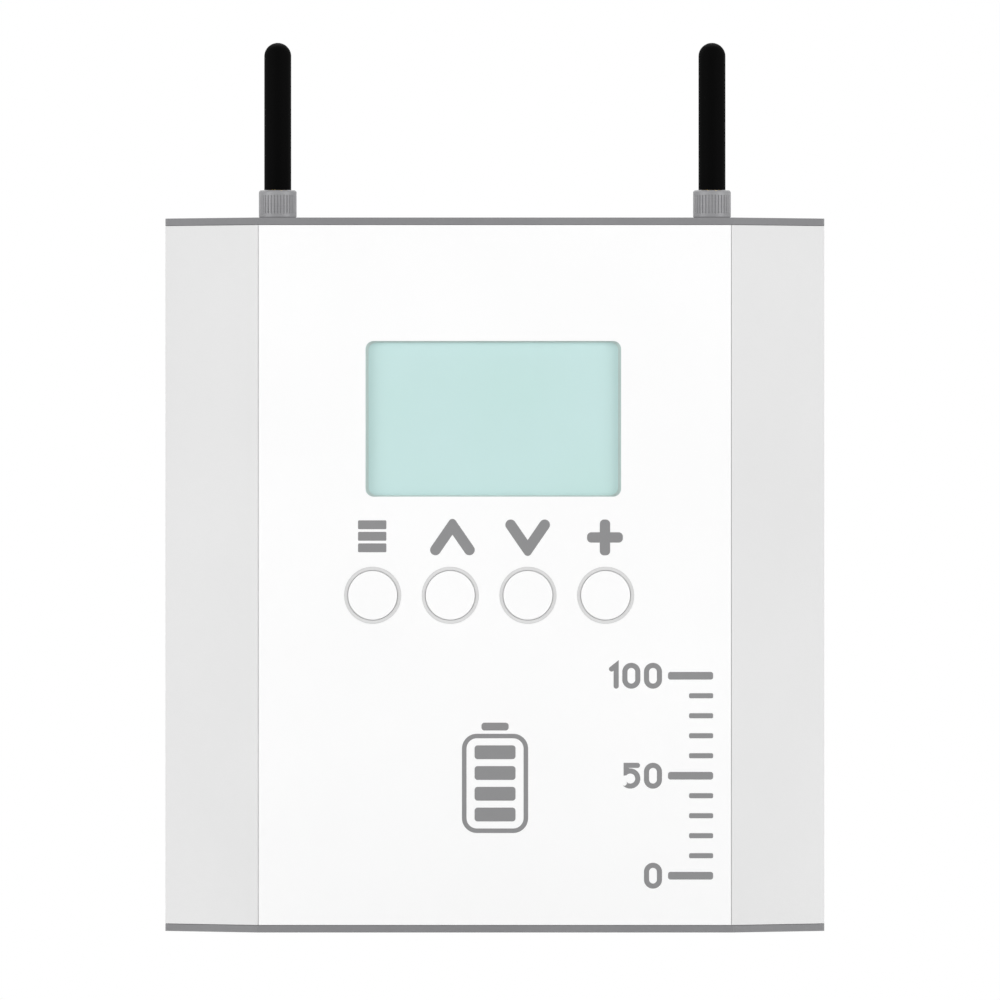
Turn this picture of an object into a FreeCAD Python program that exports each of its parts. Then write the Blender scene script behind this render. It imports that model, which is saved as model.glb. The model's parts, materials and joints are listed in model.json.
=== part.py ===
import FreeCAD, Part
import math
import os
from types import SimpleNamespace

import Sketcher
from FreeCAD import Placement, Rotation, Vector

# Home battery controller, a wall-mounted case with a display, four keys and two stub antennas.
# Millimetres, +Z up. The origin is the centre of the face that lies on the wall, and the front
# looks along -Y. A depth is a distance from the wall towards the front, so y is minus the depth.

# Driving sizes, each written once. They become the cells of the sheet.
SIZES = {
    # case
    "case_width": 220.0,
    "case_height": 237.8,
    "case_depth": 75.0,
    "plate_gauge": 2.35,
    "bend_depth": 33.0,
    "bend_round": 5.0,
    # front cover and the panel in its recess
    "cover_wall": 3.0,
    "cover_gap": 0.15,
    "panel_width": 157.2,
    "panel_gauge": 2.0,
    "panel_gap": 0.15,
    "lip_width": 0.55,
    # rear tray
    "tray_gauge": 1.5,
    "flange_reach": 14.5,
    "flange_inset": 15.0,
    "side_flange_reach": 12.0,
    "side_flange_inset": 12.0,
    "side_flange_gap": 0.4,
    "wall_hole_radius": 2.6,
    "wall_hole_inset_x": 18.0,
    "wall_hole_inset_z": 21.55,
    # cable entry through the tray, and its rubber edging
    "entry_width": 60.0,
    "entry_height": 30.0,
    "entry_round": 5.0,
    "entry_margin": 16.5,
    "grommet_wall": 1.6,
    "grommet_lip": 2.0,
    "grommet_gap": 0.05,
    # seals
    "seal_gauge": 1.0,
    "seal_width": 2.6,
    "groove_depth": 1.0,
    "seal_land": 1.5,
    "seal_gap": 0.1,
    # countersunk M3 screws of the end plates and the cover
    "screw_radius": 1.5,
    "screw_head_radius": 2.9,
    "screw_length": 8.0,
    "screw_gap": 0.1,
    "thread_gap": 0.05,
    "recess_radius": 1.15,
    "recess_depth": 0.9,
    "plate_screw_inset": 15.0,
    "cover_screw_inset": 18.6,
    "screw_block_width": 10.0,
    "screw_block_depth": 9.0,
    "screw_block_length": 14.0,
    "screw_block_bite": 0.2,
    # cable holes in the bottom plate, closed by plugs
    "plug_radius": 10.1,
    "plug_gap": 0.1,
    "plug_head_radius": 13.0,
    "plug_head_gauge": 1.3,
    "plug_wall": 1.5,
    "plug_length": 9.0,
    "plug_bead": 0.5,
    "plug_inset": 35.0,
    "plug_depth": 37.0,
    # display
    "window_width": 85.0,
    "window_height": 51.8,
    "window_round": 2.7,
    "window_x": -0.5,
    "window_rise": 51.95,
    "lens_gauge": 1.5,
    "lens_gap": 0.15,
    "bezel_rim": 2.0,
    "bezel_wall": 0.8,
    "bezel_depth": 7.0,
    "bezel_lip": 0.6,
    "bezel_gap": 0.5,
    "view_inset_x": 1.0,
    "view_inset_z": 0.5,
    "glass_gauge": 2.0,
    "glass_gap": 0.1,
    "display_board_margin_x": 2.5,
    "display_board_margin_z": 6.7,
    # keys: cap, ring and the switch behind each
    "key_pitch": 25.83,
    "key_row_x": -1.9,
    "key_rise": -6.75,
    "cap_radius": 8.2,
    "cap_proud": 0.6,
    "cap_round": 0.5,
    "cap_flange": 1.5,
    "cap_flange_gauge": 1.0,
    "cap_rest_gap": 0.1,
    "stem_radius": 2.5,
    "key_travel": 0.8,
    "ring_gap": 0.15,
    "ring_width": 1.1,
    "ring_flange": 1.1,
    "ring_flange_gauge": 1.0,
    "ring_seat_gap": 0.05,
    "key_hole_gap": 0.25,
    "switch_width": 6.0,
    "switch_tall": 3.5,
    "plunger_radius": 1.75,
    "plunger_stand": 1.0,
    "plunger_sunk": 1.3,
    "plunger_gap": 0.1,
    # printed circuit boards and what holds them
    "board_gauge": 1.6,
    "board_round": 2.0,
    "control_margin_x": 9.5,
    "control_margin_top": 4.8,
    "control_margin_bottom": 11.1,
    "main_height": 150.0,
    "main_top_gap": 11.5,
    "main_side_gap": 9.4,
    "board_hole_inset": 4.0,
    "boss_radius": 2.75,
    "boss_hole_length": 4.5,
    "pan_radius": 1.25,
    "pan_head_radius": 2.4,
    "pan_head_tall": 1.6,
    "pan_length": 6.0,
    "pan_gap": 0.15,
    "standoff_tall": 8.0,
    "standoff_radius": 3.2,
    # parts on the main board
    "terminal_tall": 15.0,
    "terminal_height": 12.0,
    "terminal_way": 7.5,
    "terminal_wire_radius": 2.0,
    "terminal_wire_tall": 5.0,
    "terminal_screw_radius": 1.9,
    "terminal_bore_length": 7.0,
    "supply_ways": 3,
    "relay_ways": 4,
    "sensor_ways": 6,
    "part_margin": 1.6,
    "part_gap": 4.5,
    "relay_width": 15.5,
    "relay_height": 19.0,
    "relay_tall": 15.7,
    "transformer_width": 36.0,
    "transformer_height": 30.0,
    "transformer_tall": 20.0,
    "coil_width": 24.0,
    "coil_tall": 18.0,
    "core_height": 15.0,
    "capacitor_radius": 5.0,
    "capacitor_tall": 18.0,
    "fuse_radius": 2.6,
    "fuse_length": 20.0,
    "fuse_cap_length": 5.0,
    "fuse_cap_wall": 0.4,
    "fuse_clip_gauge": 0.8,
    "fuse_axis_tall": 5.0,
    # parts on the control board
    "processor_width": 14.0,
    "processor_tall": 1.4,
    "wifi_width": 18.0,
    "wifi_height": 25.5,
    "wifi_tall": 3.2,
    "radio_width": 20.0,
    "radio_height": 16.0,
    "radio_tall": 2.5,
    "module_x": 38.0,
    "module_drop": 24.0,
    "cell_radius": 10.0,
    "cell_tall": 3.2,
    "cell_gap": 0.15,
    "cell_holder_wall": 1.2,
    "cell_holder_floor": 1.4,
    "cell_x": -30.0,
    "cell_lift": 30.0,
    "header_width": 40.0,
    "header_height": 2.5,
    "header_tall": 3.4,
    # ribbon cable and its two sockets
    "ribbon_x": 22.0,
    "ribbon_width": 20.0,
    "ribbon_gauge": 0.9,
    "ribbon_run": 12.0,
    "ribbon_socket_margin": 7.0,
    "ribbon_socket_wall": 1.5,
    "ribbon_socket_height": 6.0,
    "ribbon_socket_tall": 6.0,
    # antennas, measured from the top of the end plate
    "antenna_inset": 37.5,
    "antenna_depth": 30.0,
    "whip_radius": 4.5,
    "whip_length": 49.15,
    "whip_bore_length": 12.0,
    "whip_wall": 1.25,
    "collar_wall": 1.4,
    "collar_roof": 1.65,
    "collar_chamfer": 0.5,
    "collar_float": 0.1,
    "collar_mouth_clear": 0.7,
    "collar_mouth_gap": 0.28,
    "groove_count": 36,
    "knurl_depth": 0.25,
    "knurl_margin": 1.6,
    "barrel_radius": 3.15,
    "barrel_length": 6.2,
    "barrel_wall": 0.8,
    "barrel_bore_length": 4.7,
    "antenna_thread_gap": 0.1,
    "core_flange_step": 1.0,
    "core_flange_gauge": 1.2,
    "core_pin_gap": 0.15,
    "core_pin_clear": 0.6,
    "core_seat_gap": 0.3,
    "swivel_gap": 0.1,
    "nut_flats": 8.0,
    "nut_tall": 1.8,
    "crimp_radius": 2.0,
    "crimp_length": 8.0,
    "lead_radius": 0.9,
    "lead_plug_radius": 1.6,
    "lead_plug_tall": 2.4,
    "lead_sleeve_radius": 1.1,
    "lead_sleeve_length": 5.0,
    "lead_drop": 16.0,
    "lead_lean": 8.0,
    "lead_run_in": 12.0,
}

UPRIGHT = Rotation()
TO_FRONT = Rotation(Vector(1, 0, 0), 90)
UPSIDE_DOWN = Rotation(Vector(0, 1, 0), 180)
TO_WALL = Rotation(Vector(1, 0, 0), -90)
NEAR = 0.001
SQUARE_ROOT_OF_3 = math.sqrt(3)
FULL_TURN = 360
COUNTERSINK_ANGLE = 90
HEXAGON_SIDES = 6
ARC_SHARE = 0.45
PLATE_SCREW_COUNT = 3
COVER_SCREW_COUNT = 2
PLUG_COUNT = 4
RELAY_COUNT = 2
SIDES = ("left", "right")

doc = FreeCAD.newDocument("BatteryController")
sheet = doc.addObject("Spreadsheet::Sheet", "Sizes")
nodes = []


class Size:
    """A length that holds its value and the sheet expression that it follows."""

    def __init__(self, value, text):
        self.value = value
        self.text = text

    def __add__(self, other):
        other = as_size(other)
        return Size(self.value + other.value, f"({self.text} + {other.text})")

    def __sub__(self, other):
        other = as_size(other)
        return Size(self.value - other.value, f"({self.text} - {other.text})")

    def __mul__(self, other):
        other = as_size(other)
        return Size(self.value * other.value, f"({self.text} * {other.text})")

    def __truediv__(self, other):
        other = as_size(other)
        return Size(self.value / other.value, f"({self.text} / {other.text})")

    def __neg__(self):
        return Size(-self.value, f"(0 - {self.text})")

    def root(self):
        return Size(math.sqrt(self.value), f"sqrt({self.text})")


def as_size(number):
    if isinstance(number, Size):
        return number
    return Size(number, f"({number})")


def fill_sheet():
    for row, (name, value) in enumerate(SIZES.items(), start=1):
        sheet.set(f"A{row}", name)
        sheet.set(f"B{row}", str(value))
        sheet.setAlias(f"B{row}", name)
    doc.recompute()


fill_sheet()
s = SimpleNamespace(**{name: Size(value, f"Sizes.{name}") for name, value in SIZES.items()})

# Depths and heights that several pieces share.
zero = Size(0, "0")
half_width = s.case_width / 2
plate_top = s.case_height / 2
plate_inner = plate_top - s.plate_gauge
cover_end = plate_inner - s.cover_gap
cover_rim = s.tray_gauge + s.seal_gauge
recess_floor = s.case_depth - s.panel_gauge
cover_inside = recess_floor - s.cover_wall
panel_half = s.panel_width / 2
recess_half = panel_half + s.panel_gap
lip_half = recess_half + s.lip_width
flange_half = half_width - s.flange_inset
plate_screw_depth = s.tray_gauge + s.flange_reach / 2
cover_screw_depth = cover_inside - s.screw_block_depth / 2
countersink_radius = s.screw_head_radius + s.screw_gap
entry_rise = s.entry_height / 2 + s.entry_margin - plate_inner
wall_hole_x = half_width - s.wall_hole_inset_x

# The display stack, from the panel back to the control board.
bezel_back = recess_floor - s.bezel_depth
bezel_width = s.window_width + s.bezel_rim * 2
bezel_height = s.window_height + s.bezel_rim * 2
display_board_width = bezel_width + s.display_board_margin_x * 2
display_board_height = bezel_height + s.display_board_margin_z * 2
display_board_back = bezel_back - s.board_gauge
control_front = display_board_back - s.header_tall
control_back = control_front - s.board_gauge
control_width = display_board_width + s.control_margin_x * 2
control_top = s.window_rise + display_board_height / 2 + s.control_margin_top
control_bottom = s.key_rise - s.control_margin_bottom
control_height = control_top - control_bottom
control_rise = (control_top + control_bottom) / 2
module_rise = control_top - s.module_drop

# The keys, from the ring back to the switch.
ring_inner = s.cap_radius + s.ring_gap
ring_outer = ring_inner + s.ring_width
ring_back = recess_floor - s.ring_flange_gauge
ring_flange_radius = ring_outer + s.ring_flange
switch_top = control_front + s.switch_tall
stem_end = switch_top + s.plunger_stand

# The main board and the rows of parts on it, from its bottom edge up.
main_back = s.tray_gauge + s.standoff_tall
main_front = main_back + s.board_gauge
main_width = (wall_hole_x - s.wall_hole_radius - s.main_side_gap) * 2
main_top = plate_inner - s.main_top_gap
main_bottom = main_top - s.main_height
main_rise = (main_top + main_bottom) / 2
part_left = s.board_hole_inset + s.pan_head_radius + s.part_margin - main_width / 2
terminal_bottom = main_bottom + s.board_gauge
relay_bottom = terminal_bottom + s.terminal_height + s.part_gap
transformer_bottom = relay_bottom + s.relay_height + s.part_gap

# The antennas, up from the top of the end plate.
antenna_x = half_width - s.antenna_inset
nut_corner = s.nut_flats / SQUARE_ROOT_OF_3
core_neck_radius = s.whip_radius - s.whip_wall - s.thread_gap
core_flange_radius = core_neck_radius + s.core_flange_step
core_flange_bottom = s.barrel_length + s.core_seat_gap
core_flange_top = core_flange_bottom + s.core_flange_gauge
collar_top = core_flange_top + s.swivel_gap + s.collar_roof
collar_mouth_radius = nut_corner + s.collar_mouth_gap
collar_radius = collar_mouth_radius + s.collar_wall
barrel_bore_radius = s.barrel_radius - s.barrel_wall
barrel_bore_bottom = s.barrel_length - s.barrel_bore_length

# The cover's sides slope from the bend to its front edge.
slope_run = half_width - lip_half
slope_rise = s.case_depth - s.bend_depth
slope_length = (slope_run * slope_run + slope_rise * slope_rise).root()


def bend_point(inset):
    """The bend of the sides, moved in by inset from the outer faces."""
    return half_width - inset, s.bend_depth - inset * (slope_length - slope_rise) / slope_run


def slope_x(inset, depth):
    """Where the sloping side, moved in by inset, reaches this depth."""
    outer = half_width - slope_run / slope_rise * (depth - s.bend_depth)
    return outer - inset * slope_length / slope_rise


def side_path(inset, rear, front):
    """The right side of the case from its rear to its front, as points of x and depth."""
    return [(half_width - inset, rear), bend_point(inset), (slope_x(inset, front), front)]


def mirrored(points):
    return [(-x, depth) for x, depth in points]


bends = [bend_point(zero)] + mirrored([bend_point(zero)])


def channel(outer, inner):
    """A closed U from its right outer and right inner side, both from rear to front."""
    return outer + mirrored(outer[::-1]) + mirrored(inner) + inner[::-1]


def in_plan(points):
    return [(x, -depth) for x, depth in points]


# Outlines: each returns a function that draws itself in a sketch and binds its dimensions.
def dimension(sketch, kind, size, *where):
    index = sketch.addConstraint(Sketcher.Constraint(kind, *where, size.value))
    sketch.setExpression(f"Constraints[{index}]", size.text)


def fix_point(sketch, line, end, x, y):
    dimension(sketch, "DistanceX", x, -1, 1, line, end)
    dimension(sketch, "DistanceY", y, -1, 1, line, end)


def polygon(points):
    def draw(sketch):
        corners = [Vector(x.value, y.value, 0) for x, y in points]
        lines = []
        for start, end in zip(corners, corners[1:] + corners[:1]):
            lines.append(sketch.addGeometry(Part.LineSegment(start, end), False))
        for line, following in zip(lines, lines[1:] + lines[:1]):
            sketch.addConstraint(Sketcher.Constraint("Coincident", line, 2, following, 1))
        for line, (x, y) in zip(lines, points):
            fix_point(sketch, line, 1, x, y)

    return draw


def rectangle(left, right, bottom, top):
    return polygon([(left, bottom), (right, bottom), (right, top), (left, top)])


def circle(x, y, radius):
    def draw(sketch):
        centre = Vector(x.value, y.value, 0)
        ring = sketch.addGeometry(Part.Circle(centre, Vector(0, 0, 1), radius.value), False)
        fix_point(sketch, ring, 3, x, y)
        dimension(sketch, "Radius", radius, ring)

    return draw


def round_rectangle(left, right, bottom, top, radius):
    def draw(sketch):
        x0, x1, y0, y1 = left.value, right.value, bottom.value, top.value
        r = radius.value
        sides = [
            ((x0 + r, y0), (x1 - r, y0)),
            ((x1, y0 + r), (x1, y1 - r)),
            ((x1 - r, y1), (x0 + r, y1)),
            ((x0, y1 - r), (x0, y0 + r)),
        ]
        centres = [(x1 - r, y0 + r), (x1 - r, y1 - r), (x0 + r, y1 - r), (x0 + r, y0 + r)]
        pieces = []
        for index, ((start, end), centre) in enumerate(zip(sides, centres)):
            pieces.append(sketch.addGeometry(Part.LineSegment(Vector(*start), Vector(*end)), False))
            whole = Part.Circle(Vector(*centre), Vector(0, 0, 1), r)
            turn = (index - 1) * math.pi / 2
            arc = Part.ArcOfCircle(whole, turn, turn + math.pi / 2)
            pieces.append(sketch.addGeometry(arc, False))
        for piece, following in zip(pieces, pieces[1:] + pieces[:1]):
            sketch.addConstraint(Sketcher.Constraint("Tangent", piece, 2, following, 1))
        bottom_side, right_side, top_side, left_side = pieces[0::2]
        for side in (bottom_side, top_side):
            sketch.addConstraint(Sketcher.Constraint("Horizontal", side))
        for side in (right_side, left_side):
            sketch.addConstraint(Sketcher.Constraint("Vertical", side))
        first_arc, *other_arcs = pieces[1::2]
        for arc in other_arcs:
            sketch.addConstraint(Sketcher.Constraint("Equal", first_arc, arc))
        dimension(sketch, "Radius", radius, first_arc)
        dimension(sketch, "DistanceY", bottom, -1, 1, bottom_side, 1)
        dimension(sketch, "DistanceX", right, -1, 1, right_side, 1)
        dimension(sketch, "DistanceY", top, -1, 1, top_side, 1)
        dimension(sketch, "DistanceX", left, -1, 1, left_side, 1)

    return draw


def centred_rectangle(x, rise, width, height, radius):
    return round_rectangle(x - width / 2, x + width / 2, rise - height / 2, rise + height / 2, radius)


# Bodies made of sketches and features.
def node(name, thing):
    thing.Label = name
    nodes.append(thing)
    return thing


def place(thing, x=zero, depth=zero, height=zero, turn=UPRIGHT):
    thing.Placement = Placement(Vector(x.value, -depth.value, height.value), turn)
    for axis, size in (("x", x), ("y", -depth), ("z", height)):
        thing.setExpression(f"Placement.Base.{axis}", size.text)
    return thing


def new_body(name):
    return node(name, doc.addObject("PartDesign::Body", name))


def new_sketch(body, plane, offset, outlines):
    sketch = body.newObject("Sketcher::SketchObject", "outline")
    planes = {origin.Role: origin for origin in body.Origin.OriginFeatures}
    sketch.AttachmentSupport = [(planes[plane], "")]
    sketch.MapMode = "FlatFace"
    sketch.setExpression("AttachmentOffset.Base.z", offset.text)
    for draw in outlines:
        draw(sketch)
    return sketch


def pad(body, plane, offset, outlines, length, reverse=False):
    """Adds material from the sketch along its normal: up, or for XZ_Plane to the front."""
    sketch = new_sketch(body, plane, offset, outlines)
    feature = body.newObject("PartDesign::Pad", "pad")
    feature.Profile = sketch
    feature.Reversed = reverse
    feature.setExpression("Length", length.text)
    doc.recompute()
    return feature


def pocket(body, plane, offset, outlines, length, reverse=False):
    """Cuts from the sketch against its normal: down, or for XZ_Plane towards the wall."""
    before = body.Shape.Volume
    sketch = new_sketch(body, plane, offset, outlines)
    feature = body.newObject("PartDesign::Pocket", "pocket")
    feature.Profile = sketch
    feature.Reversed = reverse
    feature.setExpression("Length", length.text)
    doc.recompute()
    if before - body.Shape.Volume < NEAR:
        raise RuntimeError(f"a pocket in {body.Label} cuts nothing")
    return feature


def revolve(body, points):
    """Turns a profile of radius and height about the body's own Z axis."""
    sketch = new_sketch(body, "XZ_Plane", zero, [polygon(points)])
    return revolve_sketch(body, sketch)


def revolve_sketch(body, sketch):
    feature = body.newObject("PartDesign::Revolution", "turned")
    feature.Profile = sketch
    feature.ReferenceAxis = (sketch, ["V_Axis"])
    feature.Angle = FULL_TURN
    doc.recompute()
    return feature


def round_edges(body, edges, radius):
    base = body.Tip
    fillet = body.newObject("PartDesign::Fillet", "fillet")
    fillet.Base = (base, edges)
    fillet.setExpression("Radius", radius.text)
    doc.recompute()
    return fillet


def upright_edges(body, places):
    """Names of the edges along Z that stand at these places of the body's own x and depth."""
    names = []
    for number, edge in enumerate(body.Tip.Shape.Edges, start=1):
        box = edge.BoundBox
        if max(box.XLength, box.YLength) > NEAR:
            continue
        for x, depth in places:
            if abs(box.XMin - x.value) < NEAR and abs(box.YMin + depth.value) < NEAR:
                names.append(f"Edge{number}")
    return names


def rim_edges(body, height, radius):
    """Names of the round edges at this height of the body's own Z axis."""
    names = []
    for number, edge in enumerate(body.Tip.Shape.Edges, start=1):
        box = edge.BoundBox
        level = abs(box.ZMin - height.value) < NEAR and box.ZLength < NEAR
        if level and abs(box.XMax - radius.value) < NEAR:
            names.append(f"Edge{number}")
    return names


# Pieces made of solids and booleans.
def solid(kind, turn, x, depth, height, **sizes):
    thing = doc.addObject(f"Part::{kind}", kind.lower())
    for name, size in sizes.items():
        thing.setExpression(name, size.text)
    return place(thing, x, depth, height, turn)


def block(left, right, rear, front, bottom, top):
    thing = doc.addObject("Part::Box", "block")
    thing.setExpression("Length", (right - left).text)
    thing.setExpression("Width", (front - rear).text)
    thing.setExpression("Height", (top - bottom).text)
    return place(thing, left, front, bottom)


def centred_block(x, rise, width, height, rear, front):
    return block(x - width / 2, x + width / 2, rear, front, rise - height / 2, rise + height / 2)


def rod(radius, length, x=zero, depth=zero, height=zero, turn=UPRIGHT):
    return solid("Cylinder", turn, x, depth, height, Radius=radius, Height=length)


def cone(bottom_radius, top_radius, length, x=zero, depth=zero, height=zero, turn=UPRIGHT):
    sizes = {"Radius1": bottom_radius, "Radius2": top_radius, "Height": length}
    return solid("Cone", turn, x, depth, height, **sizes)


def hexagon(radius, length, x=zero, depth=zero, height=zero, turn=UPRIGHT):
    thing = solid("Prism", turn, x, depth, height, Circumradius=radius, Height=length)
    thing.Polygon = HEXAGON_SIDES
    return thing


def fuse(*things):
    joined = doc.addObject("Part::MultiFuse", "joined")
    joined.Shapes = list(things)
    return joined


def cut(base, *tools):
    result = doc.addObject("Part::Cut", "cut")
    result.Base = base
    result.Tool = tools[0] if len(tools) == 1 else fuse(*tools)
    return result


def group(things):
    together = doc.addObject("Part::Compound", "group")
    together.Links = list(things)
    return together


def placed(master, x, depth, height, turn=UPRIGHT):
    return place(group([master]), x, depth, height, turn)


def copies(name, master, places, turn=UPRIGHT):
    return node(name, group([placed(master, *spot, turn) for spot in places]))


# Case
def spread(middle, reach, count):
    """Evenly spaced places from middle - reach to middle + reach."""
    return [middle - reach + reach * 2 * step / (count - 1) for step in range(count)]


plate_screw_xs = spread(zero, flange_half - s.plate_screw_inset, PLATE_SCREW_COUNT)
cover_screw_xs = spread(zero, panel_half - s.cover_screw_inset, COVER_SCREW_COUNT)
plug_xs = spread(zero, half_width - s.plug_inset, PLUG_COUNT)
antenna_xs = spread(zero, antenna_x, len(SIDES))
screw_places = [(x, plate_screw_depth) for x in plate_screw_xs]
screw_places += [(x, cover_screw_depth) for x in cover_screw_xs]


def rear_tray():
    body = new_body("rear_tray")
    pad(body, "XZ_Plane", zero,
        [rectangle(-half_width, half_width, -plate_inner, plate_inner)], s.tray_gauge)
    fold = plate_inner - s.tray_gauge
    flanges = [rectangle(-flange_half, flange_half, fold, plate_inner),
               rectangle(-flange_half, flange_half, -plate_inner, -fold)]
    pad(body, "XZ_Plane", s.tray_gauge, flanges, s.flange_reach)
    outer = half_width - s.cover_wall - s.side_flange_gap
    inner = outer - s.tray_gauge
    end = plate_inner - s.side_flange_inset
    sides = [rectangle(inner, outer, -end, end), rectangle(-outer, -inner, -end, end)]
    pad(body, "XZ_Plane", s.tray_gauge, sides, s.side_flange_reach)
    holes = []
    wall_hole_rise = plate_inner - s.wall_hole_inset_z
    for x in (-wall_hole_x, wall_hole_x):
        for rise in (-wall_hole_rise, wall_hole_rise):
            holes.append(circle(x, rise, s.wall_hole_radius))
    entry = centred_rectangle(zero, entry_rise, s.entry_width, s.entry_height, s.entry_round)
    pocket(body, "XZ_Plane", s.tray_gauge, holes + [entry], s.tray_gauge)
    radius = s.screw_radius + s.thread_gap
    threads = [circle(x, -plate_screw_depth, radius) for x in plate_screw_xs]
    pocket(body, "XY_Plane", plate_inner, threads, s.tray_gauge)
    pocket(body, "XY_Plane", -plate_inner, threads, s.tray_gauge, reverse=True)


def cable_grommet():
    body = new_body("cable_grommet")
    width = s.entry_width - s.grommet_gap * 2
    height = s.entry_height - s.grommet_gap * 2
    sleeve = centred_rectangle(zero, entry_rise, width, height, s.entry_round - s.grommet_gap)
    pad(body, "XZ_Plane", zero, [sleeve], s.tray_gauge)
    lip = centred_rectangle(zero, entry_rise, s.entry_width + s.grommet_lip * 2,
                            s.entry_height + s.grommet_lip * 2, s.entry_round + s.grommet_lip)
    pad(body, "XZ_Plane", s.tray_gauge, [lip], s.seal_gauge)
    bore = centred_rectangle(zero, entry_rise, width - s.grommet_wall * 2,
                             height - s.grommet_wall * 2, s.entry_round - s.grommet_wall)
    pocket(body, "XZ_Plane", cover_rim, [bore], cover_rim)


def end_plate(name, height, turn):
    """An end plate with its outer face at its own z = 0 and its screw holes."""
    body = place(new_body(name), height=height, turn=turn)
    right = side_path(zero, zero, s.case_depth)
    outline = polygon(in_plan(right + mirrored(right[::-1])))
    pad(body, "XY_Plane", -s.plate_gauge, [outline], s.plate_gauge)
    round_edges(body, upright_edges(body, bends), s.bend_round)
    return body


def plate_holes(body):
    """Countersunk screw holes, drilled from the outer face."""
    sketch = new_sketch(body, "XY_Plane", zero,
                        [circle(x, -depth, s.screw_radius) for x, depth in screw_places])
    doc.recompute()
    hole = body.newObject("PartDesign::Hole", "screw_holes")
    hole.Profile = sketch
    doc.recompute()
    hole.ThreadType = "None"
    hole.DepthType = "ThroughAll"
    hole.HoleCutType = "Countersink"
    hole.HoleCutCustomValues = True
    hole.HoleCutCountersinkAngle = COUNTERSINK_ANGLE
    hole.setExpression("Diameter", ((s.screw_radius + s.screw_gap) * 2).text)
    hole.setExpression("HoleCutDiameter", (countersink_radius * 2).text)
    doc.recompute()


def top_plate():
    body = end_plate("top_plate", plate_top, UPRIGHT)
    plate_holes(body)
    radius = s.barrel_radius + s.antenna_thread_gap
    holes = [circle(x, -s.antenna_depth, radius) for x in antenna_xs]
    pocket(body, "XY_Plane", zero, holes, s.plate_gauge)


def bottom_plate():
    body = end_plate("bottom_plate", -plate_top, UPSIDE_DOWN)
    plate_holes(body)
    seats = [circle(x, -s.plug_depth, s.plug_head_radius + s.plug_gap) for x in plug_xs]
    pocket(body, "XY_Plane", zero, seats, s.plug_head_gauge)
    holes = [circle(x, -s.plug_depth, s.plug_radius + s.plug_gap) for x in plug_xs]
    pocket(body, "XY_Plane", -s.plug_head_gauge, holes, s.plate_gauge - s.plug_head_gauge)


def blanking_plugs():
    """Cups with a flush head and a bead that snaps in behind the plate."""
    head = rod(s.plug_head_radius, s.plug_head_gauge, height=-s.plug_head_gauge)
    sleeve = rod(s.plug_radius, s.plug_length, height=-s.plug_length)
    bead_top = -s.plate_gauge - s.seal_gap
    bead = cone(s.plug_radius, s.plug_radius + s.plug_bead, s.plug_bead * 2,
                height=bead_top - s.plug_bead * 2)
    hollow = s.plug_length - s.plug_head_gauge
    bore = rod(s.plug_radius - s.plug_wall, hollow, height=-s.plug_length)
    plug = cut(fuse(head, sleeve, bead), bore)
    copies("blanking_plugs", plug, [(x, s.plug_depth, -plate_top) for x in plug_xs], UPSIDE_DOWN)


def countersunk_screw():
    """A screw pointing down, with the top of its head at z = 0."""
    head_tall = s.screw_head_radius - s.screw_radius
    head = cone(s.screw_radius, s.screw_head_radius, head_tall, height=-head_tall)
    shank = rod(s.screw_radius, s.screw_length, height=-s.screw_length)
    recess = hexagon(s.recess_radius, s.recess_depth, height=-s.recess_depth)
    return cut(fuse(head, shank), recess)


def pan_screw():
    """A screw pointing up, with the seat of its head at z = 0."""
    head = rod(s.pan_head_radius, s.pan_head_tall, height=-s.pan_head_tall)
    shank = rod(s.pan_radius, s.pan_length)
    recess = hexagon(s.recess_radius, s.recess_depth, height=-s.pan_head_tall)
    return cut(fuse(head, shank), recess)


def case_screws():
    screw = countersunk_screw()
    tops = [(x, plate_screw_depth, plate_top) for x in plate_screw_xs]
    copies("top_plate_screws", screw, tops)
    bottoms = [(x, plate_screw_depth, -plate_top) for x in plate_screw_xs]
    copies("bottom_plate_screws", screw, bottoms, UPSIDE_DOWN)
    covers = [placed(screw, x, cover_screw_depth, plate_top) for x in cover_screw_xs]
    covers += [placed(screw, x, cover_screw_depth, -plate_top, UPSIDE_DOWN) for x in cover_screw_xs]
    node("cover_screws", group(covers))


# Where the boards' screws stand, as x and height.
def board_corners(x, rise, width, height):
    reach_x = width / 2 - s.board_hole_inset
    reach_z = height / 2 - s.board_hole_inset
    return [(x + reach_x * right, rise + reach_z * up) for right in (-1, 1) for up in (-1, 1)]


display_corners = board_corners(s.window_x, s.window_rise, display_board_width,
                                display_board_height)
control_corners = board_corners(s.window_x, control_rise, control_width, control_height)
main_corners = board_corners(zero, main_rise, main_width, s.main_height)
key_names = ["menu", "up", "down", "plus"]
key_xs = spread(s.key_row_x, s.key_pitch * (len(key_names) - 1) / 2, len(key_names))


def front_cover():
    body = new_body("front_cover")
    outer = [(half_width, cover_rim), bend_point(zero), (lip_half, s.case_depth),
             (recess_half, s.case_depth), (recess_half, recess_floor)]
    inner = side_path(s.cover_wall, cover_rim, cover_inside)
    pad(body, "XY_Plane", -cover_end, [polygon(in_plan(channel(outer, inner)))], cover_end * 2)
    round_edges(body, upright_edges(body, bends), s.bend_round)
    opening = centred_rectangle(s.window_x, s.window_rise, bezel_width + s.bezel_gap * 2,
                                bezel_height + s.bezel_gap * 2, s.window_round)
    holes = [circle(x, s.key_rise, ring_flange_radius + s.key_hole_gap) for x in key_xs]
    pocket(body, "XZ_Plane", recess_floor, [opening] + holes, s.cover_wall)
    cover_bosses(body)
    for level, reverse in ((cover_end, False), (-cover_end, True)):
        screw_blocks(body, level, reverse)
        groove = channel(side_path(s.seal_land, cover_rim, cover_inside + s.seal_land),
                         side_path(s.cover_wall, cover_rim, cover_inside))
        pocket(body, "XY_Plane", level, [polygon(in_plan(groove))], s.groove_depth, reverse)


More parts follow.
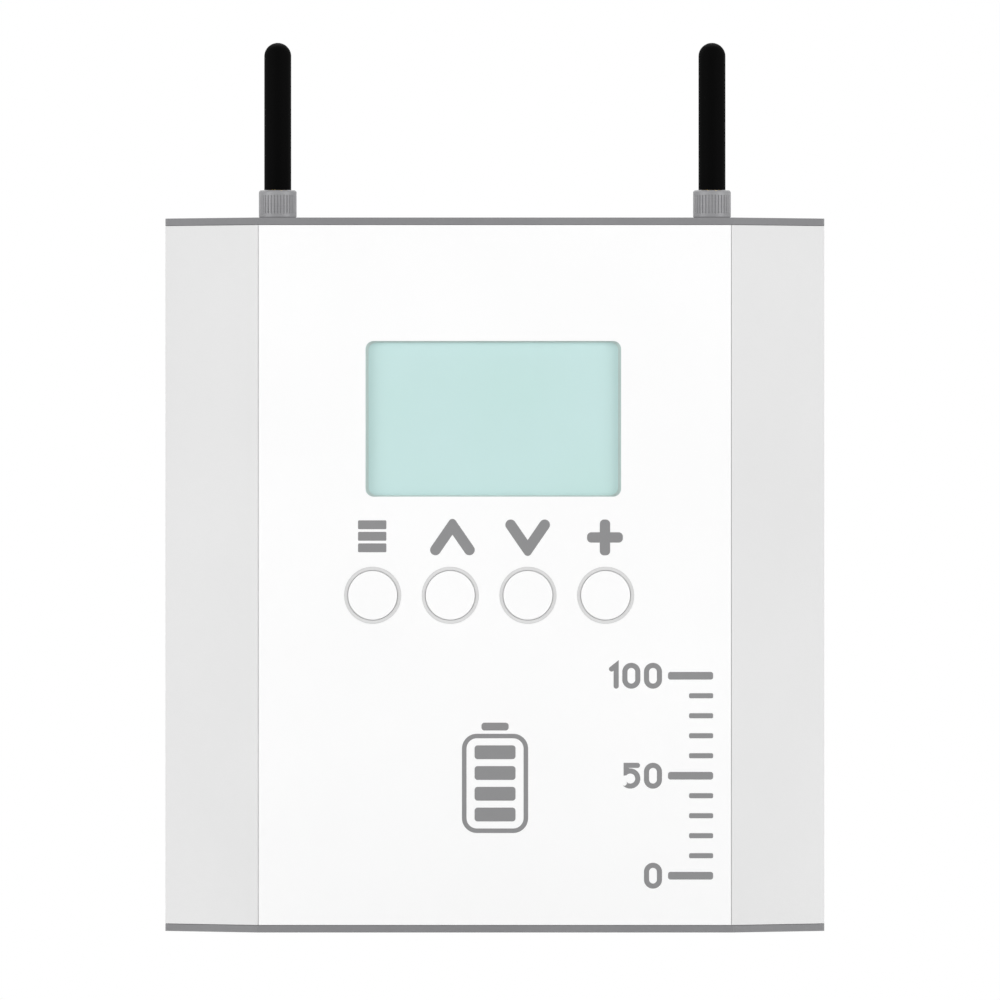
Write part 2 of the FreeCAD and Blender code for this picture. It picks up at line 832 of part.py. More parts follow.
def cover_bosses(body):
    """Posts behind the front wall that carry the display board and the control board."""
    for corners, seat in ((display_corners, bezel_back), (control_corners, control_front)):
        posts = [circle(x, rise, s.boss_radius) for x, rise in corners]
        pad(body, "XZ_Plane", seat, posts, cover_inside - seat)
        holes = [circle(x, rise, s.pan_radius + s.thread_gap) for x, rise in corners]
        pocket(body, "XZ_Plane", seat, holes, s.boss_hole_length, reverse=True)


def screw_blocks(body, level, reverse):
    """Blocks at one end of the cover that take the screws through the end plate."""
    front = cover_inside + s.screw_block_bite
    rear = cover_inside - s.screw_block_depth
    blocks = [rectangle(x - s.screw_block_width / 2, x + s.screw_block_width / 2, -front, -rear)
              for x in cover_screw_xs]
    pad(body, "XY_Plane", level, blocks, s.screw_block_length, not reverse)
    holes = [circle(x, -cover_screw_depth, s.screw_radius + s.thread_gap) for x in cover_screw_xs]
    pocket(body, "XY_Plane", level, holes, s.screw_length, reverse)


def end_seal(name, start):
    """A foam strip in the groove at one end of the cover, as thick as groove and gap."""
    body = new_body(name)
    near = s.seal_land + s.seal_gap
    far = s.cover_wall - s.seal_gap
    outer = side_path(near, cover_rim, cover_inside + s.seal_land - s.seal_gap)
    inner = side_path(far, cover_rim, cover_inside + s.seal_gap)
    strip = polygon(in_plan(channel(outer, inner)))
    pad(body, "XY_Plane", start, [strip], s.groove_depth + s.cover_gap)


def side_seals():
    middle = half_width - s.cover_wall / 2
    strips = []
    for x in (-middle, middle):
        strips.append(block(x - s.seal_width / 2, x + s.seal_width / 2, s.tray_gauge, cover_rim,
                            -cover_end, cover_end))
    node("side_seals", group(strips))


def front_panel():
    body = new_body("front_panel")
    end = plate_inner - s.panel_gap
    pad(body, "XZ_Plane", recess_floor, [rectangle(-panel_half, panel_half, -end, end)],
        s.panel_gauge)
    window = centred_rectangle(s.window_x, s.window_rise, s.window_width, s.window_height,
                               s.window_round)
    holes = [circle(x, s.key_rise, ring_outer + s.ring_seat_gap) for x in key_xs]
    pocket(body, "XZ_Plane", s.case_depth, [window] + holes, s.panel_gauge)


# Display
def display_lens():
    body = new_body("display_lens")
    width = s.window_width - s.lens_gap * 2
    height = s.window_height - s.lens_gap * 2
    outline = centred_rectangle(s.window_x, s.window_rise, width, height,
                                s.window_round - s.lens_gap)
    pad(body, "XZ_Plane", recess_floor, [outline], s.lens_gauge)


def lcd_frame():
    """The metal bezel: a tray open to the rear with a lip round the view."""
    body = new_body("lcd_frame")
    x, rise = s.window_x, s.window_rise
    pad(body, "XZ_Plane", bezel_back,
        [centred_rectangle(x, rise, bezel_width, bezel_height, s.window_round)], s.bezel_depth)
    cavity = rectangle(x - bezel_width / 2 + s.bezel_wall, x + bezel_width / 2 - s.bezel_wall,
                       rise - bezel_height / 2 + s.bezel_wall,
                       rise + bezel_height / 2 - s.bezel_wall)
    pocket(body, "XZ_Plane", bezel_back, [cavity], s.bezel_depth - s.bezel_lip, reverse=True)
    view = centred_rectangle(x, rise, s.window_width - s.view_inset_x * 2,
                             s.window_height - s.view_inset_z * 2, s.window_round)
    pocket(body, "XZ_Plane", recess_floor, [view], s.bezel_lip)


def lcd_stack():
    width = bezel_width - (s.bezel_wall + s.glass_gap) * 2
    height = bezel_height - (s.bezel_wall + s.glass_gap) * 2
    front = recess_floor - s.bezel_lip
    middle = front - s.glass_gauge
    node("lcd_glass", centred_block(s.window_x, s.window_rise, width, height, middle, front))
    node("lcd_backlight",
         centred_block(s.window_x, s.window_rise, width, height, bezel_back, middle))


def board(name, x, rise, width, height, depth, corners, hole_radius):
    """A circuit board with its rear at depth and a screw hole in each corner."""
    body = new_body(name)
    pad(body, "XZ_Plane", depth, [centred_rectangle(x, rise, width, height, s.board_round)],
        s.board_gauge)
    holes = [circle(*corner, hole_radius) for corner in corners]
    pocket(body, "XZ_Plane", depth + s.board_gauge, holes, s.board_gauge)


def boards():
    radius = s.pan_radius + s.pan_gap
    board("lcd_board", s.window_x, s.window_rise, display_board_width, display_board_height,
          display_board_back, display_corners, radius)
    board("control_board", s.window_x, control_rise, control_width, control_height,
          control_back, control_corners, radius)
    board("main_board", zero, main_rise, main_width, s.main_height, main_back,
          main_corners, radius)
    header_rise = s.window_rise - bezel_height / 2 + s.header_height
    node("lcd_header", centred_block(s.window_x, header_rise, s.header_width, s.header_height,
                                     control_front, display_board_back))


def board_fasteners():
    screw = pan_screw()
    places = [(x, display_board_back, rise) for x, rise in display_corners]
    places += [(x, control_back, rise) for x, rise in control_corners]
    copies("cover_board_screws", screw, places, TO_FRONT)
    copies("main_board_screws", screw, [(x, main_front, rise) for x, rise in main_corners], TO_WALL)
    bore = rod(s.pan_radius + s.thread_gap, s.standoff_tall)
    standoff = cut(hexagon(s.standoff_radius, s.standoff_tall), bore)
    copies("board_standoffs", standoff, [(x, s.tray_gauge, rise) for x, rise in main_corners],
           TO_FRONT)


# Keys
def button_rings():
    """Rings set flush in the panel, each with a flange behind it."""
    sleeve = rod(ring_outer, s.case_depth - ring_back)
    flange = rod(ring_flange_radius, s.ring_flange_gauge)
    ring = cut(fuse(sleeve, flange), rod(ring_inner, s.case_depth - ring_back))
    copies("button_rings", ring, [(x, ring_back, s.key_rise) for x in key_xs], TO_FRONT)


def key_cap(name, x):
    """A cap with its flange behind the ring and a stem that ends on the switch."""
    body = place(new_body(f"{name}_button"), x=x, height=s.key_rise, turn=TO_FRONT)
    flange_front = ring_back - s.cap_rest_gap
    flange_rear = flange_front - s.cap_flange_gauge
    flange_radius = s.cap_radius + s.cap_flange
    front = s.case_depth + s.cap_proud
    revolve(body, [(zero, stem_end), (s.stem_radius, stem_end), (s.stem_radius, flange_rear),
                   (flange_radius, flange_rear), (flange_radius, flange_front),
                   (s.cap_radius, flange_front), (s.cap_radius, front), (zero, front)])
    round_edges(body, rim_edges(body, front, s.cap_radius), s.cap_round)


def key_caps():
    for name, x in zip(key_names, key_xs):
        key_cap(name, x)


def plunger(name, x):
    thing = rod(s.plunger_radius, s.plunger_stand + s.plunger_sunk, x,
                switch_top - s.plunger_sunk, s.key_rise, TO_FRONT)
    node(f"{name}_switch_plunger", thing)


def switches():
    for name, x in zip(key_names, key_xs):
        plunger(name, x)
    half = s.switch_width / 2
    case = block(-half, half, control_front, switch_top, -half, half)
    well = rod(s.plunger_radius + s.plunger_gap, s.plunger_sunk + s.key_travel + s.plunger_gap,
               depth=switch_top, turn=TO_WALL)
    switch = cut(case, well)
    copies("switch_bodies", switch, [(x, zero, s.key_rise) for x in key_xs])


# Parts on the main board
def terminal(name, left, ways):
    """A row of screw terminals with wire holes below and screw wells in front."""
    top = terminal_bottom + s.terminal_height
    front = main_front + s.terminal_tall
    right = left + s.terminal_way * ways
    holes = []
    for way in range(int(ways.value)):
        x = left + s.terminal_way * way + s.terminal_way / 2
        holes.append(rod(s.terminal_wire_radius, s.terminal_bore_length, x,
                         main_front + s.terminal_wire_tall, terminal_bottom))
        holes.append(rod(s.terminal_screw_radius, s.terminal_bore_length, x, front,
                         (terminal_bottom + top) / 2, TO_WALL))
    housing = block(left, right, main_front, front, terminal_bottom, top)
    node(name, cut(housing, *holes))
    return right + s.part_gap


def main_board_parts():
    following = terminal("supply_terminal", part_left, s.supply_ways)
    following = terminal("relay_terminal", following, s.relay_ways)
    terminal("sensor_terminal", following, s.sensor_ways)
    relay_front = main_front + s.relay_tall
    relay_top = relay_bottom + s.relay_height
    relays = []
    left = part_left
    for _ in range(RELAY_COUNT):
        relays.append(block(left, left + s.relay_width, main_front, relay_front, relay_bottom,
                            relay_top))
        left = left + s.relay_width + s.part_gap
    node("relays", group(relays))
    fuse_and_clips(left + s.fuse_radius + s.fuse_clip_gauge)
    transformer()


def transformer():
    """An iron core with its coil standing out above and below, and two capacitors beside it."""
    x = part_left + s.transformer_width / 2
    rise = transformer_bottom + s.transformer_height / 2
    core = centred_block(x, rise, s.transformer_width, s.core_height, main_front,
                         main_front + s.transformer_tall)
    coil = centred_block(x, rise, s.coil_width, s.transformer_height, main_front,
                         main_front + s.coil_tall)
    node("transformer", fuse(core, coil))
    can = rod(s.capacitor_radius, s.capacitor_tall)
    can_x = part_left + s.transformer_width + s.part_gap + s.capacitor_radius
    reach = s.capacitor_radius + s.part_gap / 2
    places = [(can_x, main_front, can_rise) for can_rise in (rise - reach, rise + reach)]
    copies("capacitors", can, places, TO_FRONT)


def fuse_and_clips(x):
    """A glass fuse with end caps, lying along Z in two clips."""
    axis = main_front + s.fuse_axis_tall
    reach = s.fuse_radius + s.fuse_clip_gauge
    glass = rod(s.fuse_radius - s.fuse_cap_wall, s.fuse_length, x, axis, relay_bottom)
    caps = []
    clips = []
    for bottom in (relay_bottom, relay_bottom + s.fuse_length - s.fuse_cap_length):
        caps.append(rod(s.fuse_radius, s.fuse_cap_length, x, axis, bottom))
        grip = block(x - reach, x + reach, main_front, axis + s.fuse_radius / 2, bottom,
                     bottom + s.fuse_cap_length)
        room = rod(s.fuse_radius + s.thread_gap, s.fuse_cap_length, x, axis, bottom)
        clips.append(cut(grip, room))
    node("fuse", fuse(glass, *caps))
    node("fuse_clips", group(clips))


# Parts on the control board
def control_board_parts():
    node("processor", centred_block(zero, control_rise, s.processor_width, s.processor_width,
                                    control_back - s.processor_tall, control_back))
    node("wifi_module", centred_block(-s.module_x, module_rise, s.wifi_width, s.wifi_height,
                                      control_back - s.wifi_tall, control_back))
    node("radio_module", centred_block(s.module_x, module_rise, s.radio_width, s.radio_height,
                                       control_back - s.radio_tall, control_back))
    floor = s.cell_holder_floor
    holder_radius = s.cell_radius + s.cell_gap + s.cell_holder_wall
    cup = cut(rod(holder_radius, floor + s.cell_tall),
              rod(s.cell_radius + s.cell_gap, s.cell_tall, height=floor))
    rise = control_bottom + s.cell_lift
    copies("coin_cell_holder", cup, [(s.cell_x, control_back, rise)], TO_WALL)
    node("coin_cell", rod(s.cell_radius, s.cell_tall, s.cell_x, control_back - floor, rise,
                          TO_WALL))


# Leads that the case holds all the way
def rounded_path(points):
    """Straight runs joined by tangent arcs, each as large as its two runs allow."""
    edges = []
    radii = []
    start = points[0]
    for before, corner, after in zip(points, points[1:], points[2:]):
        toward = (before - corner).normalize()
        away = (after - corner).normalize()
        turn = math.pi - toward.getAngle(away)
        reach = ARC_SHARE * min((before - corner).Length, (after - corner).Length)
        radius = reach / math.tan(turn / 2)
        centre = corner + (toward + away).normalize() * (radius / math.cos(turn / 2))
        first = corner + toward * reach
        last = corner + away * reach
        middle = centre + (corner - centre).normalize() * radius
        edges.append(Part.LineSegment(start, first).toShape())
        edges.append(Part.Arc(first, middle, last).toShape())
        radii.append(radius)
        start = last
    edges.append(Part.LineSegment(start, points[-1]).toShape())
    return Part.Wire(edges), radii


def swept(name, points, section):
    """A solid of one section, a wire round the first point, along a rounded path."""
    path, radii = rounded_path(points)
    shape = path.makePipeShell([section], True, False)
    expected = Part.Face(section).Area * path.Length
    listed = ", ".join(f"{radius:.1f}" for radius in radii)
    print(f"{name}: radii {listed} mm, volume {shape.Volume / expected:.4f} of section x length")
    return shape


def at(x, depth, height):
    return Vector(x.value, -depth.value, height.value)


def ribbon():
    rear = main_front + s.ribbon_socket_tall
    front = control_back - s.ribbon_socket_tall
    top = control_bottom + s.ribbon_socket_margin + s.ribbon_socket_height / 2
    bottom = relay_bottom + s.ribbon_socket_height / 2
    points = [at(s.ribbon_x, front, top), at(s.ribbon_x, front - s.ribbon_run, top),
              at(s.ribbon_x, rear + s.ribbon_run, bottom), at(s.ribbon_x, rear, bottom)]
    left = s.ribbon_x - s.ribbon_width / 2
    right = s.ribbon_x + s.ribbon_width / 2
    low = top - s.ribbon_gauge / 2
    high = top + s.ribbon_gauge / 2
    corners = [at(left, front, low), at(right, front, low), at(right, front, high),
               at(left, front, high), at(left, front, low)]
    cable = doc.addObject("Part::Feature", "ribbon")
    cable.Shape = swept("ribbon_cable", points, Part.makePolygon(corners))
    node("ribbon_cable", cable)
    width = s.ribbon_width + s.ribbon_socket_wall * 2
    node("control_ribbon_socket",
         centred_block(s.ribbon_x, top, width, s.ribbon_socket_height, front, control_back))
    node("main_ribbon_socket",
         centred_block(s.ribbon_x, bottom, width, s.ribbon_socket_height, main_front, rear))


def antenna_lead(side, module_tall):
    """A coaxial lead from the rear of an antenna socket to the plug on its module."""
    socket_end = plate_inner - s.nut_tall - s.crimp_length
    plug_rear = control_back - module_tall
    lead_depth = plug_rear - s.lead_plug_tall / 2
    end_x = s.module_x + s.lead_plug_radius
    route = [(antenna_x, s.antenna_depth, socket_end),
             (antenna_x, s.antenna_depth, socket_end - s.lead_drop),
             (antenna_x - s.lead_lean, (s.antenna_depth + lead_depth) / 2,
              socket_end - s.lead_drop * 2),
             (end_x + s.lead_run_in, lead_depth, module_rise),
             (end_x, lead_depth, module_rise)]
    points = [at(x * side, depth, height) for x, depth, height in route]
    section = Part.Wire(Part.makeCircle(s.lead_radius.value, points[0], points[1] - points[0]))
    cable = swept(f"lead on side {side}", points, section)
    centre = at(s.module_x * side, plug_rear, module_rise)
    plug = Part.makeCylinder(s.lead_plug_radius.value, s.lead_plug_tall.value, centre,
                             Vector(0, 1, 0))
    sleeve = Part.makeCylinder(s.lead_sleeve_radius.value, s.lead_sleeve_length.value,
                               at(s.module_x * side, lead_depth, module_rise),
                               Vector(side, 0, 0))
    return cable.fuse([plug, sleeve])


def antenna_leads():
    leads = doc.addObject("Part::Feature", "leads")
    leads.Shape = Part.makeCompound([antenna_lead(-1, s.wifi_tall), antenna_lead(1, s.radio_tall)])
    node("antenna_leads", leads)


# Antennas: a fixed socket and nut, and a whip whose core the collar draws onto the socket.
def antenna_sockets():
    """Threaded barrels through the plate, with a hexagon and a crimp barrel under it."""
    under = -s.plate_gauge - s.nut_tall
    barrel = rod(s.barrel_radius, s.barrel_length + s.plate_gauge, height=-s.plate_gauge)
    flange = hexagon(nut_corner, s.nut_tall, height=under)
    crimp = rod(s.crimp_radius, s.crimp_length, height=under - s.crimp_length)
    bore = rod(barrel_bore_radius, s.barrel_bore_length, height=barrel_bore_bottom)
    socket = cut(fuse(barrel, flange, crimp), bore)
    places = [(x, s.antenna_depth, plate_top) for x in antenna_xs]
    copies("antenna_sockets", socket, places)
    nut = cut(hexagon(nut_corner, s.nut_tall), rod(s.barrel_radius + s.thread_gap, s.nut_tall))
    copies("antenna_nuts", nut, places)


def antenna_collar(name, x):
    """A knurled collar: mouth over the nut, thread, then the room where the core swivels."""
    body = place(new_body(name), x, s.antenna_depth, plate_top)
    bottom = s.collar_float
    mouth = s.nut_tall + s.collar_mouth_clear
    thread_radius = s.barrel_radius + s.antenna_thread_gap
    room_bottom = core_flange_bottom - s.swivel_gap
    room_top = core_flange_top + s.swivel_gap
    room_radius = core_flange_radius + s.swivel_gap * 2
    neck_radius = core_neck_radius + s.swivel_gap
    inset = collar_radius - s.collar_chamfer
    revolve(body, [(collar_mouth_radius, bottom), (inset, bottom),
                   (collar_radius, bottom + s.collar_chamfer),
                   (collar_radius, collar_top - s.collar_chamfer), (inset, collar_top),
                   (neck_radius, collar_top), (neck_radius, room_top), (room_radius, room_top),
                   (room_radius, room_bottom), (thread_radius, room_bottom),
                   (thread_radius, mouth), (collar_mouth_radius, mouth)])
    knurl(body, bottom + s.knurl_margin, collar_top - s.knurl_margin)


def knurl(body, bottom, top):
    """Shallow V grooves up the side of the collar."""
    root_x = collar_radius - s.knurl_depth
    wide = collar_radius + s.knurl_depth
    groove = polygon([(root_x, zero), (wide, -s.knurl_depth * 2), (wide, s.knurl_depth * 2)])
    feature = pocket(body, "XY_Plane", top, [groove], top - bottom)
    pattern = body.newObject("PartDesign::PolarPattern", "knurl")
    planes = {origin.Role: origin for origin in body.Origin.OriginFeatures}
    pattern.Originals = [feature]
    pattern.Axis = (planes["Z_Axis"], [""])
    pattern.Angle = FULL_TURN
    pattern.setExpression("Occurrences", s.groove_count.text)
    body.Tip = pattern
    doc.recompute()


def antenna_core(name, x):
    """The whip's metal core: pin in the socket, flange in the collar, neck up into the whip."""
    body = place(new_body(name), x, s.antenna_depth, plate_top)
    pin_bottom = barrel_bore_bottom + s.core_pin_clear
    pin_radius = barrel_bore_radius - s.core_pin_gap
    top = collar_top + s.whip_bore_length - s.swivel_gap
    revolve(body, [(zero, pin_bottom), (pin_radius, pin_bottom),
                   (pin_radius, core_flange_bottom), (core_flange_radius, core_flange_bottom),
                   (core_flange_radius, core_flange_top), (core_neck_radius, core_flange_top),
                   (core_neck_radius, top), (zero, top)])


def whip_profile(inner, outer, bottom, bore_top, top):
    """Half of a sleeve with a blind bore and a round tip."""
    def draw(sketch):
        shoulder = top - outer
        spots = [(inner, bottom), (outer, bottom), (outer, shoulder)]
        spots_after = [(zero, top), (zero, bore_top), (inner, bore_top)]
        corners = [Vector(x.value, y.value, 0) for x, y in spots]
        ends = [Vector(x.value, y.value, 0) for x, y in spots_after]
        lines = []
        for start, end in ((corners[0], corners[1]), (corners[1], corners[2]), (ends[0], ends[1]),
                           (ends[1], ends[2]), (ends[2], corners[0])):
            lines.append(sketch.addGeometry(Part.LineSegment(start, end), False))
        centre = Vector(0, shoulder.value, 0)
        whole = Part.Circle(centre, Vector(0, 0, 1), outer.value)
        tip = sketch.addGeometry(Part.ArcOfCircle(whole, 0, math.pi / 2), False)
        floor, side, axis, bore_end, bore = lines
        for first, first_end, second in ((floor, 2, side), (side, 2, tip), (tip, 2, axis),
                                         (axis, 2, bore_end), (bore_end, 2, bore), (bore, 2, floor)):
            sketch.addConstraint(Sketcher.Constraint("Coincident", first, first_end, second, 1))
        for line, (x, y) in zip((floor, side), spots):
            fix_point(sketch, line, 1, x, y)
        for line, (x, y) in zip((axis, bore_end, bore), spots_after):
            fix_point(sketch, line, 1, x, y)
        fix_point(sketch, tip, 3, zero, shoulder)

    return draw


def antenna_whip(name, x):
    body = place(new_body(name), x, s.antenna_depth, plate_top)
    bottom = collar_top + s.swivel_gap
    outline = whip_profile(s.whip_radius - s.whip_wall, s.whip_radius, bottom,
                           collar_top + s.whip_bore_length, bottom + s.whip_length)
    revolve_sketch(body, new_sketch(body, "XZ_Plane", zero, [outline]))


def antennas():
    antenna_sockets()
    for side, x in zip(SIDES, antenna_xs):
        antenna_collar(f"{side}_antenna_collar", x)
        antenna_core(f"{side}_antenna_core", x)
        antenna_whip(f"{side}_antenna_whip", x)


def check_and_write():
    """Refuses a failed object or a bad shape, then writes each node to its own file."""
    doc.recompute()
    for thing in doc.Objects:
        if "Invalid" in thing.State or "Error" in thing.State:
            raise RuntimeError(f"{thing.Label} failed: {thing.State}")
    for thing in nodes:
        if thing.Shape.isNull() or not thing.Shape.isValid() or not thing.Shape.Solids:
            raise RuntimeError(f"{thing.Label} has no valid solid")
    os.makedirs("parts", exist_ok=True)
    for thing in nodes:
        thing.Shape.exportStep(f"parts/{thing.Label}.step")
    print(f"{len(nodes)} nodes, {sum(len(thing.Shape.Solids) for thing in nodes)} solids")


rear_tray()
cable_grommet()
top_plate()
bottom_plate()
blanking_plugs()
case_screws()
front_cover()
end_seal("top_seal", cover_end - s.groove_depth)
end_seal("bottom_seal", -cover_end - s.cover_gap)
side_seals()
front_panel()
display_lens()
lcd_frame()
lcd_stack()
boards()
board_fasteners()
button_rings()
key_caps()
switches()
main_board_parts()
control_board_parts()
ribbon()
antennas()
antenna_leads()
check_and_write()
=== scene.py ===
import json
import math

import bmesh
import bpy
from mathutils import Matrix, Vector


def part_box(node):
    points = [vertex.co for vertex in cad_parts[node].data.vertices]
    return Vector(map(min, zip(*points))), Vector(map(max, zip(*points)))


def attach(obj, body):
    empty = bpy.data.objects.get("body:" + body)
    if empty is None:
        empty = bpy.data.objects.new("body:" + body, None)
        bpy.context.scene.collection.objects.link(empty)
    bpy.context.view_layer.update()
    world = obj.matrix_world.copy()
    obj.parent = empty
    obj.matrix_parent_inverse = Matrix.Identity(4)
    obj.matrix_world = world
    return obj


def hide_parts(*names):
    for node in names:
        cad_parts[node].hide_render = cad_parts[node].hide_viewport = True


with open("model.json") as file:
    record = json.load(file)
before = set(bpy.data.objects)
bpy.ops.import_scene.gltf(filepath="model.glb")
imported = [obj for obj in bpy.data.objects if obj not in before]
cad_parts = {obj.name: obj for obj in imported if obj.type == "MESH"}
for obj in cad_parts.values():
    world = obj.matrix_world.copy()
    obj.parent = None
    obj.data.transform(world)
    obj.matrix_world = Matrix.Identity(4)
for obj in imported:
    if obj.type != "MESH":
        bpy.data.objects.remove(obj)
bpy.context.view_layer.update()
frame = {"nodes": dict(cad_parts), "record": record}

cadNodes = frame["nodes"]
mm = 0.001
scene = bpy.context.scene
print("frame loaded:", len(cadNodes), "nodes")


# Colours are the 0-255 values of a picture, one for a grey, and are turned into linear light.
def linear(level):
    share = level / 255
    return share / 12.92 if share <= 0.04045 else ((share + 0.055) / 1.055) ** 2.4


def paint(*levels):
    return tuple(linear(level) for level in (levels * 3)[:3]) + (1.0,)


# One node of a shader or geometry tree. An input is a plain value or another node's output.
def addNode(tree, kind, settings=None, inputs=None):
    node = tree.nodes.new(kind)
    for name, value in (settings or {}).items():
        setattr(node, name, value)
    for name, value in (inputs or {}).items():
        if isinstance(value, bpy.types.NodeSocket):
            tree.links.new(value, node.inputs[name])
        else:
            node.inputs[name].default_value = value
    return node


# The first output of a new node
def result(tree, kind, inputs=None, **settings):
    return addNode(tree, kind, settings, inputs).outputs[0]


def calculate(tree, operation, first, second=0.0, third=0.0):
    return result(tree, "ShaderNodeMath", {0: first, 1: second, 2: third}, operation=operation)


# Values of a look that go straight into the shader
socketOf = {"specular": "Specular IOR Level", "metallic": "Metallic", "ior": "IOR",
            "transmission": "Transmission Weight", "tint": "Base Color", "evenRough": "Roughness"}


def newMaterial(name, recipe, look):
    material = bpy.data.materials.new(name)
    material.use_nodes = True
    tree = material.node_tree
    shader = tree.nodes["Principled BSDF"]
    for label, socket in socketOf.items():
        if label in look:
            shader.inputs[socket].default_value = look[label]
    recipe(tree, shader, look)
    return material


def objectPlace(tree, stretch=(1, 1, 1)):
    coords = addNode(tree, "ShaderNodeTexCoord").outputs["Object"]
    return result(tree, "ShaderNodeMapping", {"Vector": coords, "Scale": stretch})


def axesOf(tree, place):
    return addNode(tree, "ShaderNodeSeparateXYZ", inputs={0: place}).outputs


def noise(tree, place, scale, detail=2.0, roughness=0.5):
    inputs = {"Vector": place, "Scale": scale, "Detail": detail, "Roughness": roughness}
    return result(tree, "ShaderNodeTexNoise", inputs)


def cells(tree, place, scale, output="Distance", **settings):
    node = addNode(tree, "ShaderNodeTexVoronoi", settings, {"Vector": place, "Scale": scale})
    return node.outputs[output]


def spread(tree, value, low, high, fromLow=0.0, fromHigh=1.0):
    inputs = {0: value, 1: fromLow, 2: fromHigh, 3: low, 4: high}
    return result(tree, "ShaderNodeMapRange", inputs)


# A noise keeps mostly to the middle of its range.
noiseMiddle = (0.3, 0.7)


def spreadNoise(tree, value, low, high):
    return spread(tree, value, low, high, *noiseMiddle)


def blendColours(tree, share, first, second, mode="MIX"):
    settings = {"data_type": "RGBA", "blend_type": mode}
    node = addNode(tree, "ShaderNodeMix", settings, {0: share, 6: first, 7: second})
    return node.outputs[2]


def blendShaders(tree, share, first, second):
    return result(tree, "ShaderNodeMixShader", {0: share, 1: first, 2: second})


def giveSurface(tree, shader, colour, rough, height, depth):
    tree.links.new(colour, shader.inputs["Base Color"])
    tree.links.new(rough, shader.inputs["Roughness"])
    bump = result(tree, "ShaderNodeBump", {"Height": height, "Distance": depth * mm})
    tree.links.new(bump, shader.inputs["Normal"])


def giveOutput(tree, mixed):
    tree.links.new(mixed, tree.nodes["Material Output"].inputs["Surface"])


def tones(tree, share, look):
    return blendColours(tree, share, paint(*look["pale"]), paint(*look["deep"]))


def cloudTones(tree, place, look):
    cloud = noise(tree, place, look["cloudScale"], look["cloudDetail"])
    return tones(tree, spreadNoise(tree, cloud, 0.0, 1.0), look)


# Solid stuff: a faint cloud in the colour and a fine grain, stretched to lines on bare metal
plainLook = dict(
    pale=(252,), deep=(250,), cloudScale=14.0, cloudDetail=3.0, cloudStretch=(1, 1, 1), rough=0.5,
    roughSpread=0.05, grain=2400.0, stretch=(1, 1, 1), grainDetail=4.0, grainRough=0.6, depth=0.01,
    specular=0.25, metallic=0.0)
metalLook = dict(
    plainLook, roughSpread=0.08, grainDetail=3.0, grainRough=0.65, specular=0.5, metallic=1.0)


def solidFinish(tree, shader, look):
    colour = cloudTones(tree, objectPlace(tree, look["cloudStretch"]), look)
    grain = noise(tree, objectPlace(tree, look["stretch"]), look["grain"], look["grainDetail"],
                  look["grainRough"])
    rough = spreadNoise(tree, grain, look["rough"] - look["roughSpread"],
                        look["rough"] + look["roughSpread"])
    giveSurface(tree, shader, colour, rough, grain, look["depth"])


mouldedLooks = {
    "whitePanel": {},
    "lightGreyCover": dict(pale=(231,), deep=(228,), rough=0.58, grain=1500.0, depth=0.04),
    "whiteKeyCap": dict(rough=0.4, depth=0.004),
    "paleGreyRing": dict(pale=(220,), deep=(217,), rough=0.4),
    "blackMoulding": dict(pale=(40, 40, 41), deep=(33, 33, 34), grain=1800.0, depth=0.02),
    "darkGreyPlug": dict(
        pale=(98, 98, 100), deep=(93, 93, 95), rough=0.6, grain=1600.0, depth=0.04),
    "greenTerminal": dict(
        pale=(62, 128, 84), deep=(54, 118, 76), rough=0.42, grain=1800.0, depth=0.02),
    "blueRelay": dict(pale=(46, 84, 140), deep=(40, 76, 130), rough=0.36, grain=1800.0),
    "milkBacklight": dict(pale=(236, 240, 236), deep=(230, 235, 231), rough=0.45),
    "blackLead": dict(pale=(30, 30, 31), deep=(24, 24, 25), rough=0.55, grain=900.0, depth=0.02),
    "blackWhip": dict(pale=(6,), deep=(4,), rough=0.66, grain=2600.0, specular=0.03),
    "greyInk": dict(
        pale=(144, 144, 145), deep=(141, 141, 142), rough=0.6, depth=0.002, specular=0.1),
    "greyBezel": dict(pale=(192, 208, 205), deep=(188, 204, 201)),
    "greyPowderCoat": dict(
        pale=(137, 137, 139), deep=(132, 132, 134), cloudScale=30.0, grain=900.0, depth=0.06,
        roughSpread=0.1),
    "greyCollar": dict(
        pale=(166, 166, 168), deep=(158, 158, 160), cloudScale=120.0, rough=0.48, metallic=0.12,
        specular=0.35, cloudStretch=(1, 1, 24), stretch=(1, 1, 24), grain=260.0),
}
metalLooks = {
    "platedScrew": dict(
        pale=(206, 208, 210), deep=(190, 192, 196), rough=0.3, stretch=(1, 6, 1), grain=900.0,
        cloudScale=60.0, depth=0.004),
    "brass": dict(
        pale=(214, 182, 112), deep=(198, 164, 94), rough=0.3, stretch=(1, 12, 1), grain=700.0,
        cloudScale=80.0, depth=0.004),
    "tinnedShield": dict(
        pale=(202, 203, 202), deep=(188, 189, 190), rough=0.34, stretch=(1, 1, 18), grain=260.0,
        cloudScale=45.0, depth=0.003),
    "springClip": dict(
        pale=(212, 208, 196), deep=(196, 192, 180), rough=0.26, stretch=(14, 1, 1), grain=300.0,
        cloudScale=70.0, depth=0.003),
    "coreSteel": dict(
        pale=(128, 126, 122), deep=(104, 102, 100), rough=0.45, stretch=(1, 1, 20), grain=260.0,
        cloudScale=60.0, depth=0.01),
    "copperWire": dict(
        pale=(190, 104, 62), deep=(168, 84, 48), rough=0.3, stretch=(1, 1, 8), grain=500.0,
        cloudScale=90.0, depth=0.003),
}


# Clear plastic or glass that lets the lamps through
clearLook = dict(transmission=1.0, smearDetail=3.0)


